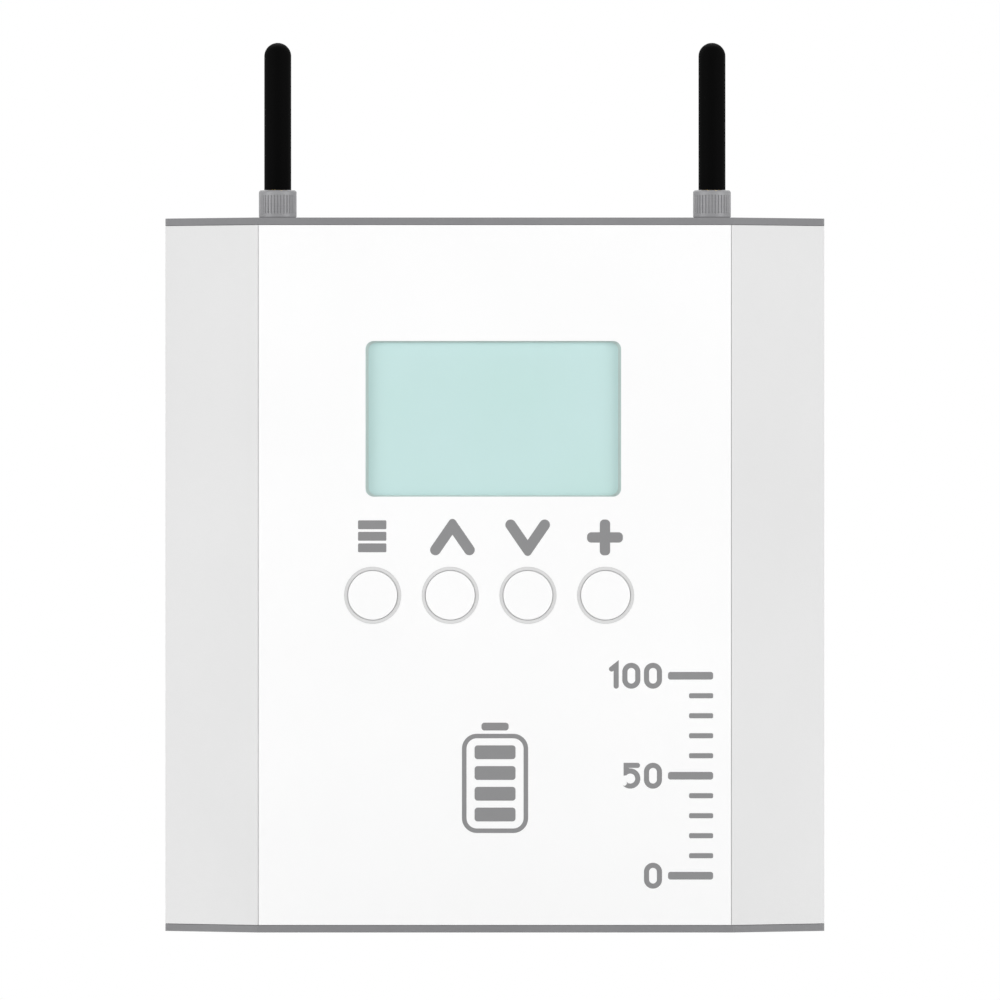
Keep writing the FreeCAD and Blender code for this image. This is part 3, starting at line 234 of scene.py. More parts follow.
def clearFinish(tree, shader, look):
    smear = noise(tree, objectPlace(tree), look["smear"], look["smearDetail"])
    rough = spreadNoise(tree, smear, look["rough"], look["rough"] * 2)
    tree.links.new(rough, shader.inputs["Roughness"])
    clear = result(tree, "ShaderNodeBsdfTransparent", {"Color": look["tint"]})
    path = addNode(tree, "ShaderNodeLightPath").outputs
    plain = calculate(tree, "MAXIMUM", path["Is Shadow Ray"], path["Is Diffuse Ray"])
    giveOutput(tree, blendShaders(tree, plain, shader.outputs[0], clear))


clearLooks = {
    "clearLens": dict(ior=1.49, tint=(0.985, 0.995, 0.993, 1.0), smear=40.0, rough=0.015),
    "fuseGlass": dict(ior=1.5, tint=(0.97, 0.985, 0.98, 1.0), smear=90.0, rough=0.01),
}

# Ribbon cable: a ridge over each wire, painted shade darkening the grooves between the ridges, and
# a red first wire
ribbonLook = dict(
    pale=(178, 180, 182), deep=(140, 142, 144), first=(170, 52, 46), pitch=1.25, left=12.0,
    ridgeTop=0.6, depth=0.2, rough=0.45, roughSpread=0.1, grainScale=1400.0, specular=0.3)


def ribbonFinish(tree, shader, look):
    axes = axesOf(tree, objectPlace(tree))
    away = calculate(tree, "SUBTRACT", axes[0], look["left"] * mm)
    step = calculate(tree, "DIVIDE", away, look["pitch"] * mm)
    ridge = calculate(tree, "SINE", calculate(tree, "MULTIPLY", calculate(tree, "FRACT", step),
                                              math.pi))
    # Painted shade: the colour turns darker in the grooves between the wire ridges
    paintedGrooveShade = spread(tree, ridge, 1.0, 0.0, 0.0, look["ridgeTop"])
    red = calculate(tree, "LESS_THAN", step, 1.0)
    colour = blendColours(tree, red, tones(tree, paintedGrooveShade, look), paint(*look["first"]))
    grain = noise(tree, objectPlace(tree), look["grainScale"])
    rough = spreadNoise(tree, grain, look["rough"], look["rough"] + look["roughSpread"])
    giveSurface(tree, shader, colour, rough, ridge, look["depth"])


# Zinc-coated sheet: large pale and dark spangles over a fine rolled grain
zincLook = dict(
    pale=(203, 205, 207), deep=(190, 193, 196), metallic=0.85, spangle=150.0, wobbleScale=60.0,
    wobble=0.02, grainScale=900.0, grainDetail=3.0, relief=0.4, rough=0.3, roughTop=0.48,
    depth=0.008)


def zincFinish(tree, shader, look):
    place = objectPlace(tree)
    wobble = noise(tree, place, look["wobbleScale"])
    swell = calculate(tree, "MULTIPLY_ADD", wobble, look["wobble"], 1.0)
    moved = result(tree, "ShaderNodeVectorMath", {0: place, 3: swell}, operation="SCALE")
    tone = cells(tree, moved, look["spangle"], "Color")
    level = result(tree, "ShaderNodeSeparateColor", {0: tone})
    grain = noise(tree, place, look["grainScale"], look["grainDetail"])
    height = calculate(tree, "MULTIPLY_ADD", level, look["relief"], grain)
    rough = spread(tree, level, look["rough"], look["roughTop"])
    giveSurface(tree, shader, tones(tree, level, look), rough, height, look["depth"])


# Foam rubber: open cells of two sizes, with painted shade darkening the sunken pores
foamLook = dict(
    pale=(44, 44, 46), deep=(18, 18, 19), specular=0.15, cellScale=1500.0, poreScale=420.0,
    poreShare=1.5, low=0.2, high=1.4, rough=0.75, roughTop=0.95, depth=0.12)


def foamFinish(tree, shader, look):
    place = objectPlace(tree)
    fine = cells(tree, place, look["cellScale"])
    pore = cells(tree, place, look["poreScale"], feature="SMOOTH_F1")
    height = calculate(tree, "MULTIPLY_ADD", pore, look["poreShare"], fine)
    # Painted shade: the lowest parts of the cells, the pores, are coloured darker
    share = spread(tree, height, 1.0, 0.0, look["low"], look["high"])
    rough = spread(tree, fine, look["rough"], look["roughTop"])
    giveSurface(tree, shader, tones(tree, share, look), rough, height, look["depth"])


# Circuit board: green solder mask over raised tracks, with tinned holes on a plain grid
boardLook = dict(
    mask=(24, 92, 58), track=(52, 128, 82), tin=(206, 204, 190), specular=0.5, trackScale=190.0,
    trackBands=7.0, trackStart=0.42, trackEnd=0.46, trackRelief=0.7, grainScale=700.0,
    holePitch=5.08, holeRadius=0.6, holeEdge=0.02, holeShare=0.3, rough=0.32, roughTop=0.24,
    depth=0.03)


def boardFinish(tree, shader, look):
    flat = objectPlace(tree, (1, 0, 1))
    edge = cells(tree, flat, look["trackScale"], distance="CHEBYCHEV")
    bands = calculate(tree, "FRACT", calculate(tree, "MULTIPLY", edge, look["trackBands"]))
    track = spread(tree, bands, 1.0, 0.0, look["trackStart"], look["trackEnd"])
    axes = axesOf(tree, flat)
    offsets = []
    cell = tree.nodes.new("ShaderNodeCombineXYZ")
    for axis in (0, 2):
        step = calculate(tree, "DIVIDE", axes[axis], look["holePitch"] * mm)
        tree.links.new(calculate(tree, "FLOOR", step), cell.inputs[axis])
        away = calculate(tree, "SUBTRACT", calculate(tree, "FRACT", step), 0.5)
        offsets.append(calculate(tree, "MULTIPLY", away, away))
    radius = calculate(tree, "SQRT", calculate(tree, "ADD", *offsets))
    limit = look["holeRadius"] / look["holePitch"]
    lot = result(tree, "ShaderNodeTexWhiteNoise", {"Vector": cell.outputs[0]})
    drilled = calculate(tree, "LESS_THAN", lot, look["holeShare"])
    hole = spread(tree, radius, 1.0, 0.0, limit, limit + look["holeEdge"])
    green = blendColours(tree, track, paint(*look["mask"]), paint(*look["track"]))
    colour = blendColours(tree, calculate(tree, "MULTIPLY", drilled, hole), green,
                          paint(*look["tin"]))
    height = calculate(tree, "MULTIPLY_ADD", track, look["trackRelief"],
                       noise(tree, objectPlace(tree), look["grainScale"]))
    giveSurface(tree, shader, colour, spread(tree, track, look["rough"], look["roughTop"]),
                height, look["depth"])


# Display: pale teal with the faint grid of its picture dots
displayLook = dict(
    pale=(198, 227, 226), deep=(195, 226, 223), specular=0.3, cloudScale=26.0, cloudDetail=2.0,
    line=0.94, dotPitch=0.63, lineShare=0.12, rough=0.3, roughTop=0.4, depth=0.002)


def displayFinish(tree, shader, look):
    place = objectPlace(tree)
    plain = cloudTones(tree, place, look)
    axes = axesOf(tree, place)
    lines = []
    for axis in (0, 2):
        step = calculate(tree, "DIVIDE", axes[axis], look["dotPitch"] * mm)
        lines.append(calculate(tree, "LESS_THAN", calculate(tree, "FRACT", step),
                               look["lineShare"]))
    grid = calculate(tree, "MAXIMUM", *lines)
    shade = (look["line"],) * 3 + (1.0,)
    shaded = blendColours(tree, 1.0, plain, shade, "MULTIPLY")
    giveSurface(tree, shader, blendColours(tree, grid, plain, shaded),
                spread(tree, grid, look["rough"], look["roughTop"]), grid, look["depth"])


recipes = [("greyRibbon", ribbonFinish, ribbonLook), ("zincSheet", zincFinish, zincLook),
           ("blackFoam", foamFinish, foamLook), ("greenCircuitBoard", boardFinish, boardLook),
           ("paleTealDisplay", displayFinish, displayLook)]
for recipe, base, looks in ((solidFinish, plainLook, mouldedLooks),
                            (solidFinish, metalLook, metalLooks),
                            (clearFinish, clearLook, clearLooks)):
    recipes += [(name, recipe, dict(base, **look)) for name, look in looks.items()]
finishes = {name: newMaterial(name, recipe, look) for name, recipe, look in recipes}
print("finishes made:", len(finishes))

finishOfSlot = {
    "tray_steel": "zincSheet", "plate_paint": "greyPowderCoat", "cover_plastic": "lightGreyCover",
    "panel_plastic": "whitePanel", "key_plastic": "whiteKeyCap", "ring_plastic": "paleGreyRing",
    "clear_lens": "clearLens", "display_glass": "paleTealDisplay",
    "backlight_plastic": "milkBacklight", "bezel_metal": "greyBezel",
    "circuit_board": "greenCircuitBoard", "black_plastic": "blackMoulding",
    "plug_plastic": "darkGreyPlug", "terminal_plastic": "greenTerminal",
    "relay_plastic": "blueRelay", "transformer_core": "coreSteel",
    "capacitor_can": "tinnedShield", "fuse_glass": "fuseGlass", "clip_metal": "springClip",
    "shield_tin": "tinnedShield", "ribbon_plastic": "greyRibbon", "lead_jacket": "blackLead",
    "brass_parts": "brass", "screw_steel": "platedScrew", "collar_metal": "greyCollar",
    "seal_rubber": "blackFoam", "whip_rubber": "blackWhip",
}
for part in frame["record"]["subparts"]:
    coats = cadNodes[part["node"]].data.materials
    coats.clear()
    coats.append(finishes[finishOfSlot[part["material_slot"]]])
print("frame painted")


# Geometry Nodes: every tree takes a centre, a turn and a finish, and ends in real, painted faces.
def newTree(name, lengths, counts, vectors=()):
    tree = bpy.data.node_groups.new(name, "GeometryNodeTree")
    tree.interface.new_socket("Geometry", in_out="OUTPUT", socket_type="NodeSocketGeometry")
    kinds = {"Float": lengths, "Int": counts, "Vector": vectors + ("Centre", "Turn"),
             "Material": ("Finish",)}
    for kind, labels in kinds.items():
        for label in labels:
            tree.interface.new_socket(label, in_out="INPUT", socket_type="NodeSocket" + kind)
    return tree, tree.nodes.new("NodeGroupInput").outputs


def placed(tree, geometry, centre, turn):
    inputs = {"Geometry": geometry, "Translation": centre, "Rotation": turn}
    return result(tree, "GeometryNodeTransform", inputs)


def endTree(tree, sizes, geometry):
    moved = placed(tree, geometry, sizes["Centre"], sizes["Turn"])
    real = result(tree, "GeometryNodeRealizeInstances", {0: moved})
    painted = result(tree, "GeometryNodeSetMaterial", {0: real, 2: sizes["Finish"]})
    addNode(tree, "NodeGroupOutput", inputs={0: painted})
    return tree


def combine(tree, x=0.0, y=0.0, z=0.0):
    return result(tree, "ShaderNodeCombineXYZ", {0: x, 1: y, 2: z})


def join(tree, parts):
    joined = tree.nodes.new("GeometryNodeJoinGeometry")
    for part in parts:
        tree.links.new(part, joined.inputs[0])
    return joined.outputs[0]


meshLook = dict(
    mergeGap=1e-6, weldGap=1e-7, cornerSteps=5, wireSteps=8, cheekSteps=18, discSteps=32,
    bevelSteps=2, turnSteps=40, arcSteps=12, sharpAngle=35, mitreLimit=0.4)


# A closed flat curve becomes a slab from z = 0 up to the thickness.
def slab(tree, curve, thickness):
    face = result(tree, "GeometryNodeFillCurve", {0: curve}, mode="NGONS")
    raised = result(tree, "GeometryNodeExtrudeMesh", {0: face, 3: thickness})
    under = result(tree, "GeometryNodeFlipFaces", {0: face})
    inputs = {0: join(tree, (raised, under)), 2: meshLook["mergeGap"]}
    return result(tree, "GeometryNodeMergeByDistance", inputs)


def roundedRectangle(tree, sizes):
    outline = result(tree, "GeometryNodeCurvePrimitiveQuadrilateral",
                     {"Width": sizes["Width"], "Height": sizes["Height"]})
    inputs = {"Curve": outline, "Count": meshLook["cornerSteps"], "Radius": sizes["Corner"],
              "Limit Radius": True}
    return result(tree, "GeometryNodeFilletCurve", inputs, mode="POLY")


def circle(tree, steps, radius):
    inputs = {"Resolution": meshLook[steps], "Radius": radius}
    return result(tree, "GeometryNodeCurvePrimitiveCircle", inputs)


def onPoints(tree, points, thing, swing=(0, 0, 0)):
    inputs = {"Points": points, "Instance": thing, "Rotation": swing}
    return result(tree, "GeometryNodeInstanceOnPoints", inputs)


def gridOf(tree, sizes, width, height):
    inputs = {"Size X": width, "Size Y": height, "Vertices X": sizes["Across"],
              "Vertices Y": sizes["Up"]}
    return result(tree, "GeometryNodeMeshGrid", inputs)


def centredRow(tree, count, step):
    back = calculate(tree, "MULTIPLY", calculate(tree, "SUBTRACT", count, 1.0), -0.5)
    start = result(tree, "ShaderNodeVectorMath", {0: step, 3: back}, operation="SCALE")
    inputs = {"Count": count, "Start Location": start, "Offset": step}
    return result(tree, "GeometryNodeMeshLine", inputs)


def roundedBar(tree, sizes):
    return slab(tree, roundedRectangle(tree, sizes), sizes["Thickness"])


def ring(tree, sizes):
    inputs = {0: roundedRectangle(tree, sizes), 1: circle(tree, "wireSteps", sizes["Wire"])}
    return result(tree, "GeometryNodeCurveToMesh", inputs)


# Two cheeks on a lower disc
def slottedHead(tree, sizes):
    radius, thickness = sizes["Radius"], sizes["Thickness"]
    across = calculate(tree, "MULTIPLY", radius, 2.0)
    lean = calculate(tree, "ARCSINE", calculate(tree, "DIVIDE", sizes["Slot"], across))
    inputs = {"Resolution": meshLook["cheekSteps"], "Radius": radius, "Start Angle": lean,
              "Sweep Angle": calculate(tree, "MULTIPLY_ADD", lean, -2.0, math.pi)}
    bow = result(tree, "GeometryNodeCurveArc", inputs, mode="RADIUS")
    closed = result(tree, "GeometryNodeSetSplineCyclic", {0: bow, 2: True})
    cheek = slab(tree, closed, thickness)
    other = placed(tree, cheek, (0, 0, 0), (0, 0, math.pi))
    disc = slab(tree, circle(tree, "discSteps", radius),
                calculate(tree, "MULTIPLY", thickness, 0.5))
    return join(tree, (cheek, other, disc))


# Equal things in a row of Count, one Step apart
def makeRow(name, lengths, thing):
    tree, sizes = newTree(name, lengths, ("Count",), ("Step",))
    row = centredRow(tree, sizes["Count"], sizes["Step"])
    return endTree(tree, sizes, onPoints(tree, row, thing(tree, sizes)))


# Equal bars in rows and columns: symbols, ticks, legs, pads, pins
def makeBarRows():
    lengths = ("Width", "Height", "Thickness", "Corner", "Pitch Across", "Pitch Up")
    tree, sizes = newTree("barRows", lengths, ("Across", "Up"))
    spans = [calculate(tree, "MULTIPLY", calculate(tree, "SUBTRACT", sizes[way], 1.0),
                       sizes["Pitch " + way]) for way in ("Across", "Up")]
    return endTree(tree, sizes, onPoints(tree, gridOf(tree, sizes, *spans),
                                         roundedBar(tree, sizes)))


# Small parts dropped at random on a grid, each along or across it
def makeScatteredChips():
    lengths = ("Width", "Height", "Thickness", "Corner", "Area Width", "Area Height", "Empty")
    tree, sizes = newTree("scatteredChips", lengths, ("Across", "Up", "Seed"))
    grid = gridOf(tree, sizes, sizes["Area Width"], sizes["Area Height"])
    absent = addNode(tree, "FunctionNodeRandomValue", {"data_type": "BOOLEAN"},
                     {"Probability": sizes["Empty"], "Seed": sizes["Seed"]}).outputs[3]
    kept = result(tree, "GeometryNodeDeleteGeometry", {0: grid, 1: absent}, domain="POINT")
    side = addNode(tree, "FunctionNodeRandomValue", {"data_type": "INT"},
                   {4: 0, 5: 1, "Seed": sizes["Seed"]}).outputs[2]
    swing = combine(tree, z=calculate(tree, "MULTIPLY", side, math.pi / 2))
    return endTree(tree, sizes, onPoints(tree, kept, roundedBar(tree, sizes), swing))


barRows = makeBarRows()
scatteredChips = makeScatteredChips()
sheetStack = makeRow("sheetStack", ("Width", "Height", "Corner", "Thickness"), roundedBar)
ringRow = makeRow("ringRow", ("Width", "Height", "Corner", "Wire"), ring)
slottedHeads = makeRow("slottedHeads", ("Radius", "Slot", "Thickness"), slottedHead)
toFront = (math.pi / 2, 0, 0)  # a tree's up becomes the part's front
toWall = (-math.pi / 2, 0, 0)  # a tree's up becomes the part's back
upright = (0, 0, 0)


def addObject(name, data):
    thing = bpy.data.objects.new(name, data)
    scene.collection.objects.link(thing)
    return thing


# From here on, places and sizes are in millimetres, and turn into metres where a mesh is made.
def boxOf(nodeName):
    low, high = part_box(nodeName)
    low, high = Vector(low) / mm, Vector(high) / mm
    return low, high, (low + high) / 2


def addPiece(name, mesh, body="root", smooth=False):
    shape = bmesh.new()
    shape.from_mesh(mesh)
    bmesh.ops.remove_doubles(shape, verts=shape.verts, dist=meshLook["weldGap"])
    bmesh.ops.recalc_face_normals(shape, faces=shape.faces)
    shape.to_mesh(mesh)
    shape.free()
    mesh.name = name
    piece = addObject(name, mesh)
    if smooth:
        mesh.shade_smooth()
        mesh.set_sharp_from_angle(angle=math.radians(meshLook["sharpAngle"]))
    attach(piece, body)
    return piece


# Runs a tree with one set of lengths and counts and keeps its result as a plain mesh.
def grow(name, tree, finish, centre, turn, lengths, counts, smooth=False):
    values = {"Turn": turn, "Finish": finishes[finish]}
    for label, length in dict(lengths, Centre=centre).items():
        plain = isinstance(length, (int, float))
        values[label] = length * mm if plain else tuple(Vector(length) * mm)
    values.update(counts)
    holder = addObject("holder", bpy.data.meshes.new("holder"))
    grown = holder.modifiers.new("grown", "NODES")
    grown.node_group = tree
    for item in tree.interface.items_tree:
        if item.in_out == "INPUT":
            grown[item.identifier] = values[item.name]
    holder.update_tag()
    whole = holder.evaluated_get(bpy.context.evaluated_depsgraph_get())
    mesh = bpy.data.meshes.new_from_object(whole)
    bpy.data.objects.remove(holder)
    return addPiece(name, mesh, "root", smooth)


# size is (width, height, thickness), count and pitch are (across, up)
def growBars(name, finish, size, centre, turn=toFront, count=(1, 1), pitch=(0, 0), corner=0.1):
    lengths = {"Width": size[0], "Height": size[1], "Thickness": size[2], "Corner": corner,
               "Pitch Across": pitch[0], "Pitch Up": pitch[1]}
    return grow(name, barRows, finish, centre, turn, lengths,
                {"Across": count[0], "Up": count[1]})


# size is (width, height, corner, wire)
def growRings(name, finish, size, centre, turn, count, step):
    lengths = dict(zip(("Width", "Height", "Corner", "Wire"), size), Step=step)
    return grow(name, ringRow, finish, centre, turn, lengths, {"Count": count}, True)


def keepShape(name, shape, finish, smooth=False):
    mesh = bpy.data.meshes.new(name)
    shape.to_mesh(mesh)
    shape.free()
    mesh.materials.append(finishes[finish])
    return addPiece(name, mesh, "root", smooth)


# Blocks with softened edges, each given by two opposite corners
def softBlocks(name, blocks, bevel, finish):
    shape = bmesh.new()
    for low, high in blocks:
        low, high = Vector(low) * mm, Vector(high) * mm
        corners = bmesh.ops.create_cube(shape, size=1.0)["verts"]
        for vert in corners:
            vert.co = (low + high) / 2 + Vector(a * b for a, b in zip(vert.co, high - low))
        edges = list({edge for vert in corners for edge in vert.link_edges})
        bmesh.ops.bevel(shape, geom=edges, offset=bevel * mm, segments=meshLook["bevelSteps"],
                        profile=0.5, affect="EDGES")
    return keepShape(name, shape, finish, True)


# Turned shapes: the profile is (radius, distance) pairs along the axis from each start point
def turnedShapes(name, profile, starts, along, finish,
                 steps=meshLook["turnSteps"]):
    shape = bmesh.new()
    along = Vector(along)
    side = along.orthogonal().normalized()
    third = along.cross(side)
    angles = [2 * math.pi * step / steps for step in range(steps)]
    for start in starts:
        rings = []
        for radius, distance in profile:
            middle = Vector(start) + along * distance
            spokes = [(side * math.cos(angle) + third * math.sin(angle)) * radius
                      for angle in (angles if radius else angles[:1])]
            rings.append([shape.verts.new((middle + spoke) * mm) for spoke in spokes])
        for near, far in zip(rings, rings[1:]):
            for step in range(steps):
                after = (step + 1) % steps
                corners = [near[step % len(near)], near[after % len(near)],
                           far[after % len(far)], far[step % len(far)]]
                shape.faces.new(list(dict.fromkeys(corners)))
    return keepShape(name, shape, finish, True)


# Drawn marks: flat outlines in the panel's plane, as (x, z)
def arc(x, z, radius, start, end, steps=meshLook["arcSteps"]):
    angles = [math.radians(start + (end - start) * step / steps) for step in range(steps + 1)]
    return [(x + radius * math.cos(angle), z + radius * math.sin(angle)) for angle in angles]


def roundedOutline(x, z, width, height, corner):
    across, up = width / 2 - corner, height / 2 - corner
    quarters = ((1, 1), (-1, 1), (-1, -1), (1, -1))
    return [point for turn, (right, above) in enumerate(quarters)
            for point in arc(x + right * across, z + above * up, corner, turn * 90,
                             turn * 90 + 90)]


def flatVerts(shape, points):
    return [shape.verts.new((x * mm, 0, z * mm)) for x, z in points]


def addOutline(shape, outline):
    shape.faces.new(flatVerts(shape, outline))


# A line of even width along a path, mitred at its corners, with round or joined ends
def addStroke(shape, path, width, closed=False):
    points = [Vector(point) for point in path]
    count = len(points)
    verts = []
    for index, point in enumerate(points):
        before = points[index - 1] if closed or index else points[0]
        after = points[(index + 1) % count] if closed or index < count - 1 else points[-1]
        arriving = (point - before).normalized() if point != before else None
        leaving = (after - point).normalized() if after != point else arriving
        arriving = arriving or leaving
        normal = Vector((-leaving.y, leaving.x))
        across = (Vector((-arriving.y, arriving.x)) + normal).normalized()
        reach = across * (width / 2 / max(across.dot(normal), meshLook["mitreLimit"]))
        verts.append(flatVerts(shape, (point + reach, point - reach)))
    for index in range(count if closed else count - 1):
        left, right = verts[index], verts[(index + 1) % count]
        shape.faces.new((left[0], left[1], right[1], right[0]))
    if closed:
        return
    for end, inner in ((0, 1), (-1, -2)):
        away = points[end] - points[inner]
        middle = math.degrees(math.atan2(away.y, away.x))
        cap = arc(points[end].x, points[end].y, width / 2, middle - 90, middle + 90)[1:-1]
        first, last = verts[end] if end == -1 else reversed(verts[end])
        shape.faces.new([last] + flatVerts(shape, cap) + [first])


# Gives drawn faces a thickness, from one distance from the wall to another.
def thicken(shape, start, end):
    bmesh.ops.remove_doubles(shape, verts=shape.verts, dist=meshLook["weldGap"])
    for vert in shape.verts:
        vert.co.y = start * mm
    raised = bmesh.ops.extrude_face_region(shape, geom=shape.faces[:], use_keep_orig=True)
    for item in raised["geom"]:
        if isinstance(item, bmesh.types.BMVert):
            item.co.y = end * mm


# Panel print: a hair thick, and sunk a hair into the panel
inkLook = dict(back=-74.98, front=-75.03)


def inkPiece(name, draw, **mark):
    shape = bmesh.new()
    draw(shape, **mark)
    thicken(shape, inkLook["back"], inkLook["front"])
    return keepShape(name, shape, "greyInk")


def inkBars(name, width, height, corner, count, pitch, x, z):
    size = (width, height, inkLook["back"] - inkLook["front"])
    return growBars(name, "greyInk", size, (x, inkLook["back"], z), toFront, (1, count),
                    (0, pitch), corner)


menuMark = dict(width=9.4, height=2.95, corner=0.35, count=3, pitch=3.83, x=-40.79, z=12.88)
inkBars("menu_symbol", **menuMark)

chevronMark = dict(stroke=3.55, reach=5.65, rise=8.2, tipRound=1.3)
chevronTips = {"up": (-14.1, 16.54, 1), "down": (10.92, 8.49, -1)}


def drawChevron(shape, tip, stroke, reach, rise, tipRound):
    half, slope = stroke / 2, math.atan2(rise, reach)
    lean, tipX, tipZ, side = math.degrees(slope), *tip
    outline = (arc(-reach, -rise, half, lean - 90, lean - 270)
               + arc(0, (half - tipRound) / math.cos(slope), tipRound, 90 + lean, 90 - lean)
               + arc(reach, -rise, half, 90 - lean, -90 - lean)
               + [(0, -half / math.cos(slope))])
    addOutline(shape, [(tipX + x, tipZ + side * z) for x, z in outline])


for way, chevronTip in chevronTips.items():
    inkPiece(way + "_symbol", drawChevron, tip=chevronTip, **chevronMark)

plusMark = dict(x=36.63, z=12.5, reach=5.95, half=1.72, corner=1.4, steps=6)


def drawPlus(shape, x, z, reach, half, corner, steps):
    outline = []
    for quarter in range(4):
        turn = math.radians(90 * quarter)
        arm = (arc(reach - corner, -half + corner, corner, -90, 0, steps)
               + arc(reach - corner, half - corner, corner, 0, 90, steps) + [(half, half)])
        outline += [(x + out * math.cos(turn) - up * math.sin(turn),
                     z + out * math.sin(turn) + up * math.cos(turn)) for out, up in arm]
    addOutline(shape, outline)


inkPiece("plus_symbol", drawPlus, **plusMark)

# A plain battery with four level bars
batteryMark = dict(
    x=0.07, z=-69.3, width=22.0, height=33.0, corner=4.2, stroke=1.5, pole=(9.0, 2.6, 1.0),
    poleGap=1.1)
batteryBars = dict(x=0.07, z=-69.3, width=13.6, height=4.6, corner=1.0, count=4, pitch=6.9)


def drawBattery(shape, x, z, width, height, corner, stroke, pole, poleGap):
    addStroke(shape, roundedOutline(x, z, width - stroke, height - stroke, corner), stroke, True)
    addOutline(shape, roundedOutline(x, z + height / 2 + poleGap + pole[1] / 2, *pole))


inkPiece("battery_outline", drawBattery, **batteryMark)
inkBars("battery_level_bars", **batteryBars)

# A plain level scale up the right-hand side: ticks, with 0, 50 and 100 beside the long ones
scaleMark = dict(right=72.6, low=-100.0, high=-33.5, steps=10)
shortTicks = dict(width=8.0, height=1.7, corner=0.5)
longTicks = dict(width=15.0, height=2.55, corner=0.8)
digitMark = dict(right=55.6, width=6.0, oneWidth=4.32, height=8.6, gap=1.2, stroke=1.7)
digitShape = dict(
    zeroFlat=0.001, oneFlag=(0.25, 0.76), fiveBowl=0.56, fiveStem=0.07, fiveSteps=(20, 24, 8),
    fiveAngles=(140, -142, 94), fiveSlack=0.1)


def makeTicks(right, low, high, steps):
    span, middle = high - low, (high + low) / 2
    for half, z in (("lower", middle - span / 4), ("upper", middle + span / 4)):
        inkBars("scale_" + half + "_ticks", count=steps // 2 - 1, pitch=span / steps,
                x=right - shortTicks["width"] / 2, z=z, **shortTicks)
    inkBars("scale_long_ticks", count=3, pitch=span / 2, x=right - longTicks["width"] / 2,
            z=middle, **longTicks)


# Digits stand on their lower left corner. Each is one closed outline or one line.
def drawZero(shape, x, z, width, height, stroke):
    corner = (width - stroke) / 2 - digitShape["zeroFlat"]
    addStroke(shape, roundedOutline(x + width / 2, z + height / 2, width - stroke,
                                    height - stroke, corner), stroke, True)


def drawOne(shape, x, z, width, height, stroke):
    half = stroke / 2
    stem = x + width - half
    flagX, flagZ = digitShape["oneFlag"]
    addStroke(shape, [(x + half + width * flagX, z + height * flagZ), (stem, z + height - half),
                      (stem, z + half)], stroke)


def drawFive(shape, x, z, width, height, stroke):
    bowl, half = width * digitShape["fiveBowl"], stroke / 2
    start, end, shoulder = digitShape["fiveAngles"]
    innerSteps, outerSteps, capSteps = digitShape["fiveSteps"]
    left, slack = x + width * digitShape["fiveStem"], digitShape["fiveSlack"]
    middle, top = (x + width - bowl, z + bowl), z + height
    inside = arc(*middle, bowl - stroke, start, end, innerSteps)
    outside = arc(*middle, bowl, end, shoulder, outerSteps)
    tip = arc(*middle, bowl - half, end, end, 1)[0]
    cap = arc(*tip, half, end + 180, end, capSteps)[1:-1]
    bar = arc(x + width - half - slack, top - half, half, -90, 90, capSteps)
    addOutline(shape, [(left, top), (left, inside[0][1] - slack)] + inside + cap + outside
               + [(left + stroke, top - stroke)] + bar)


digitDrawings = {"0": drawZero, "1": drawOne, "5": drawFive}


def drawNumber(shape, number, z, right, width, oneWidth, height, gap, stroke):
    for digit in reversed(number):
        own = oneWidth if digit == "1" else width
        right -= own
        digitDrawings[digit](shape, right, z - height / 2, own, height, stroke)
        right -= gap


makeTicks(**scaleMark)
for levelName, number, share in (("full", "100", 1.0), ("half", "50", 0.5), ("empty", "0", 0.0)):
    level = scaleMark["low"] + share * (scaleMark["high"] - scaleMark["low"])
    inkPiece("scale_" + levelName, drawNumber, number=number, z=level, **digitMark)
print("panel print made")

# Blanking plugs: two moulded rings on each head
plugLook = dict(widths=(17.0, 9.0), wire=0.35, pitch=50.0, count=4)


def makePlugRings(widths, wire, pitch, count):
    low, high, centre = boxOf("blanking_plugs")
    for index, width in enumerate(widths):
        growRings("plug_ring_" + str(index + 1), "darkGreyPlug", (width, width, width / 2, wire),
                  (centre.x, centre.y, low.z), upright, count, (pitch, 0, 0))


# Processor: a square package with legs on four sides and a dot at its first leg
processorLook = dict(
    reach=1.1, width=0.3, gauge=0.2, corner=0.05, legs=16, pitch=0.65, bevel=0.12, stand=0.1,
    dot=0.9, dotGauge=0.05)


def makeProcessor(reach, width, gauge, corner, legs, pitch, bevel, stand, dot, dotGauge):
    low, high, centre = boxOf("processor")
    inner = Vector((reach, 0, reach))
    body = softBlocks("processor_body", [(low + inner + Vector((0, stand, 0)), high - inner)],
                      bevel, "blackMoulding")
    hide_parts("processor")
    away, foot = high.x - low.x - reach, (centre.x, low.y, centre.z)
    growBars("processor_side_legs", "tinnedShield", (reach, width, gauge), foot, toWall,
             (2, legs), (away, pitch), corner)
    growBars("processor_end_legs", "tinnedShield", (width, reach, gauge), foot, toWall,
             (legs, 2), (pitch, away), corner)
    growBars("processor_first_leg_mark", "greyInk", (dot, dot, dotGauge),
             (low.x + reach * 2, high.y, high.z - reach * 2), toWall, corner=dot / 2)


# Radio modules: a small board, its soldered edge pads and a shield can with a raised lid
moduleShape = dict(
    thick=0.8, boardBevel=0.15, canBevel=0.18, inset=1.6, rise=0.2, root=0.4, pad=1.2,
    padGauge=0.12, padCorner=0.3)
moduleLooks = {
    "wifi_module": dict(edge=1.1, canTop=7.0, pads=8, pitch=2.0, aerialRows=5),
    "radio_module": dict(edge=1.0, canTop=1.0, pads=6, pitch=2.2, aerialRows=0),
}
aerialLook = dict(width=0.45, pitch=1.1, inset=2.0, top=1.0, back=0.02, front=0.04)


